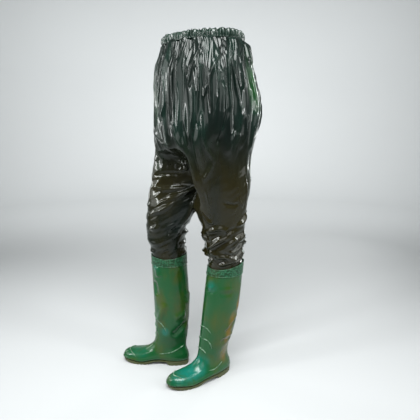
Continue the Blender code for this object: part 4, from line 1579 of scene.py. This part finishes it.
class WADERS_OT_stage(bpy.types.Operator):
    """Stage: a pale floor that sweeps up all round, soft panels of light and the camera"""

    bl_idname = "waders.stage"
    bl_label = "Stage"

    def execute(self, context):
        stage = context.scene.waders_stage
        self.floor(stage)
        self.lights(stage)
        world = bpy.data.worlds.new("studio")
        world.use_nodes = True
        room = world.node_tree.nodes["Background"]
        room.inputs["Color"].default_value = (*stage.sky, 1.0)
        room.inputs["Strength"].default_value = stage.sky_strength
        context.scene.world = world
        data = bpy.data.cameras.new("camera")
        data.lens = stage.lens
        data.sensor_width = SENSOR
        camera = bpy.data.objects.new("camera", data)
        camera.location = stage.camera_place
        camera.rotation_euler = (stage.camera_pitch, 0.0, stage.camera_turn)
        context.scene.collection.objects.link(camera)
        context.scene.camera = camera
        context.scene.view_settings.view_transform = "Standard"
        return {"FINISHED"}

    def floor(self, stage):
        """A round floor whose edge sweeps up to a wall."""
        profile = [(radius, 0.0) for radius in FLOOR_RINGS]
        profile += [
            (FLOOR_RINGS[-1] + SWEEP * math.sin(a), SWEEP * (1 - math.cos(a)))
            for a in np.linspace(SWEEP_START, math.pi / 2, SWEEP_POINTS)
        ]
        profile.append((FLOOR_RINGS[-1] + SWEEP, WALL_TOP))
        turn = 2 * math.pi * np.arange(FLOOR_ROUND) / FLOOR_ROUND
        across, ahead = np.cos(turn), np.sin(turn)
        rings = [np.stack([r * across, r * ahead, np.full(FLOOR_ROUND, z)], -1) for r, z in profile]
        faces = [list(face) for face in ring_faces(len(rings), FLOOR_ROUND, flip=True)]
        faces.append(list(range(FLOOR_ROUND)))
        mesh = bpy.data.meshes.new("floor")
        mesh.from_pydata(np.concatenate(rings).tolist(), [], faces)
        mesh.shade_smooth()
        paint = Finish("floor")
        clouds = paint.grain(2.0)
        pale = paint.blend(0.06 * clouds, stage.floor, stage.floor_clouds)
        paint.set({"Base Color": pale, "Roughness": 0.7 + 0.1 * clouds})
        mesh.materials.append(paint.material)
        floor = bpy.data.objects.new("floor", mesh)
        bpy.context.scene.collection.objects.link(floor)

    def lights(self, stage):
        """Panels placed as right, toward the camera and up, seen from the camera."""
        turn = stage.camera_turn
        right = np.array((math.cos(turn), math.sin(turn), 0.0))
        toward = np.array((math.sin(turn), -math.cos(turn), 0.0))
        up = np.array((0.0, 0.0, 1.0))
        for panel in PANELS:
            data = bpy.data.lights.new(panel.name, "AREA")
            data.shape = "RECTANGLE"
            data.size = panel.wide
            data.size_y = panel.tall
            data.energy = panel.watts
            data.spread = LIGHT_SPREAD
            light = bpy.data.objects.new(panel.name, data)
            light.location = right * panel.right + toward * panel.toward + up * panel.up
            look = Vector(toward * panel.aim_toward + up * panel.aim_up) - light.location
            light.rotation_euler = look.to_track_quat("-Z", "Y").to_euler()
            light.visible_camera = False
            bpy.context.scene.collection.objects.link(light)


class WADERS_PT_panel(bpy.types.Panel):
    """The pieces of the waders, in the order they are made"""

    bl_idname = "WADERS_PT_panel"
    bl_label = "Waders"
    bl_space_type = "VIEW_3D"
    bl_region_type = "UI"
    bl_category = "Waders"

    def draw(self, context):
        for operator in OPERATORS:
            self.layout.operator(operator.bl_idname)
        for group in SETTINGS:
            box = self.layout.box()
            settings = getattr(context.scene, group)
            for name in settings.bl_rna.properties.keys():
                if name not in ("rna_type", "name"):
                    box.prop(settings, name)


SETTINGS = {"waders_film": FilmSettings, "waders_boots": BootSettings, "waders_stage": StageSettings}
OPERATORS = (
    WADERS_OT_trousers,
    WADERS_OT_waist,
    WADERS_OT_boots,
    WADERS_OT_soles,
    WADERS_OT_stage,
)


def register():
    for made in (*SETTINGS.values(), *OPERATORS, WADERS_PT_panel):
        bpy.utils.register_class(made)
    for name, group in SETTINGS.items():
        setattr(bpy.types.Scene, name, PointerProperty(type=group))


def unregister():
    for name in SETTINGS:
        delattr(bpy.types.Scene, name)
    for made in (WADERS_PT_panel, *reversed(OPERATORS), *reversed(SETTINGS.values())):
        bpy.utils.unregister_class(made)


def main():
    register()
    bpy.ops.waders.trousers()
    bpy.ops.waders.waist()
    bpy.ops.waders.boots()
    bpy.ops.waders.soles()
    bpy.ops.waders.stage()


if __name__ == "__main__":
    main()
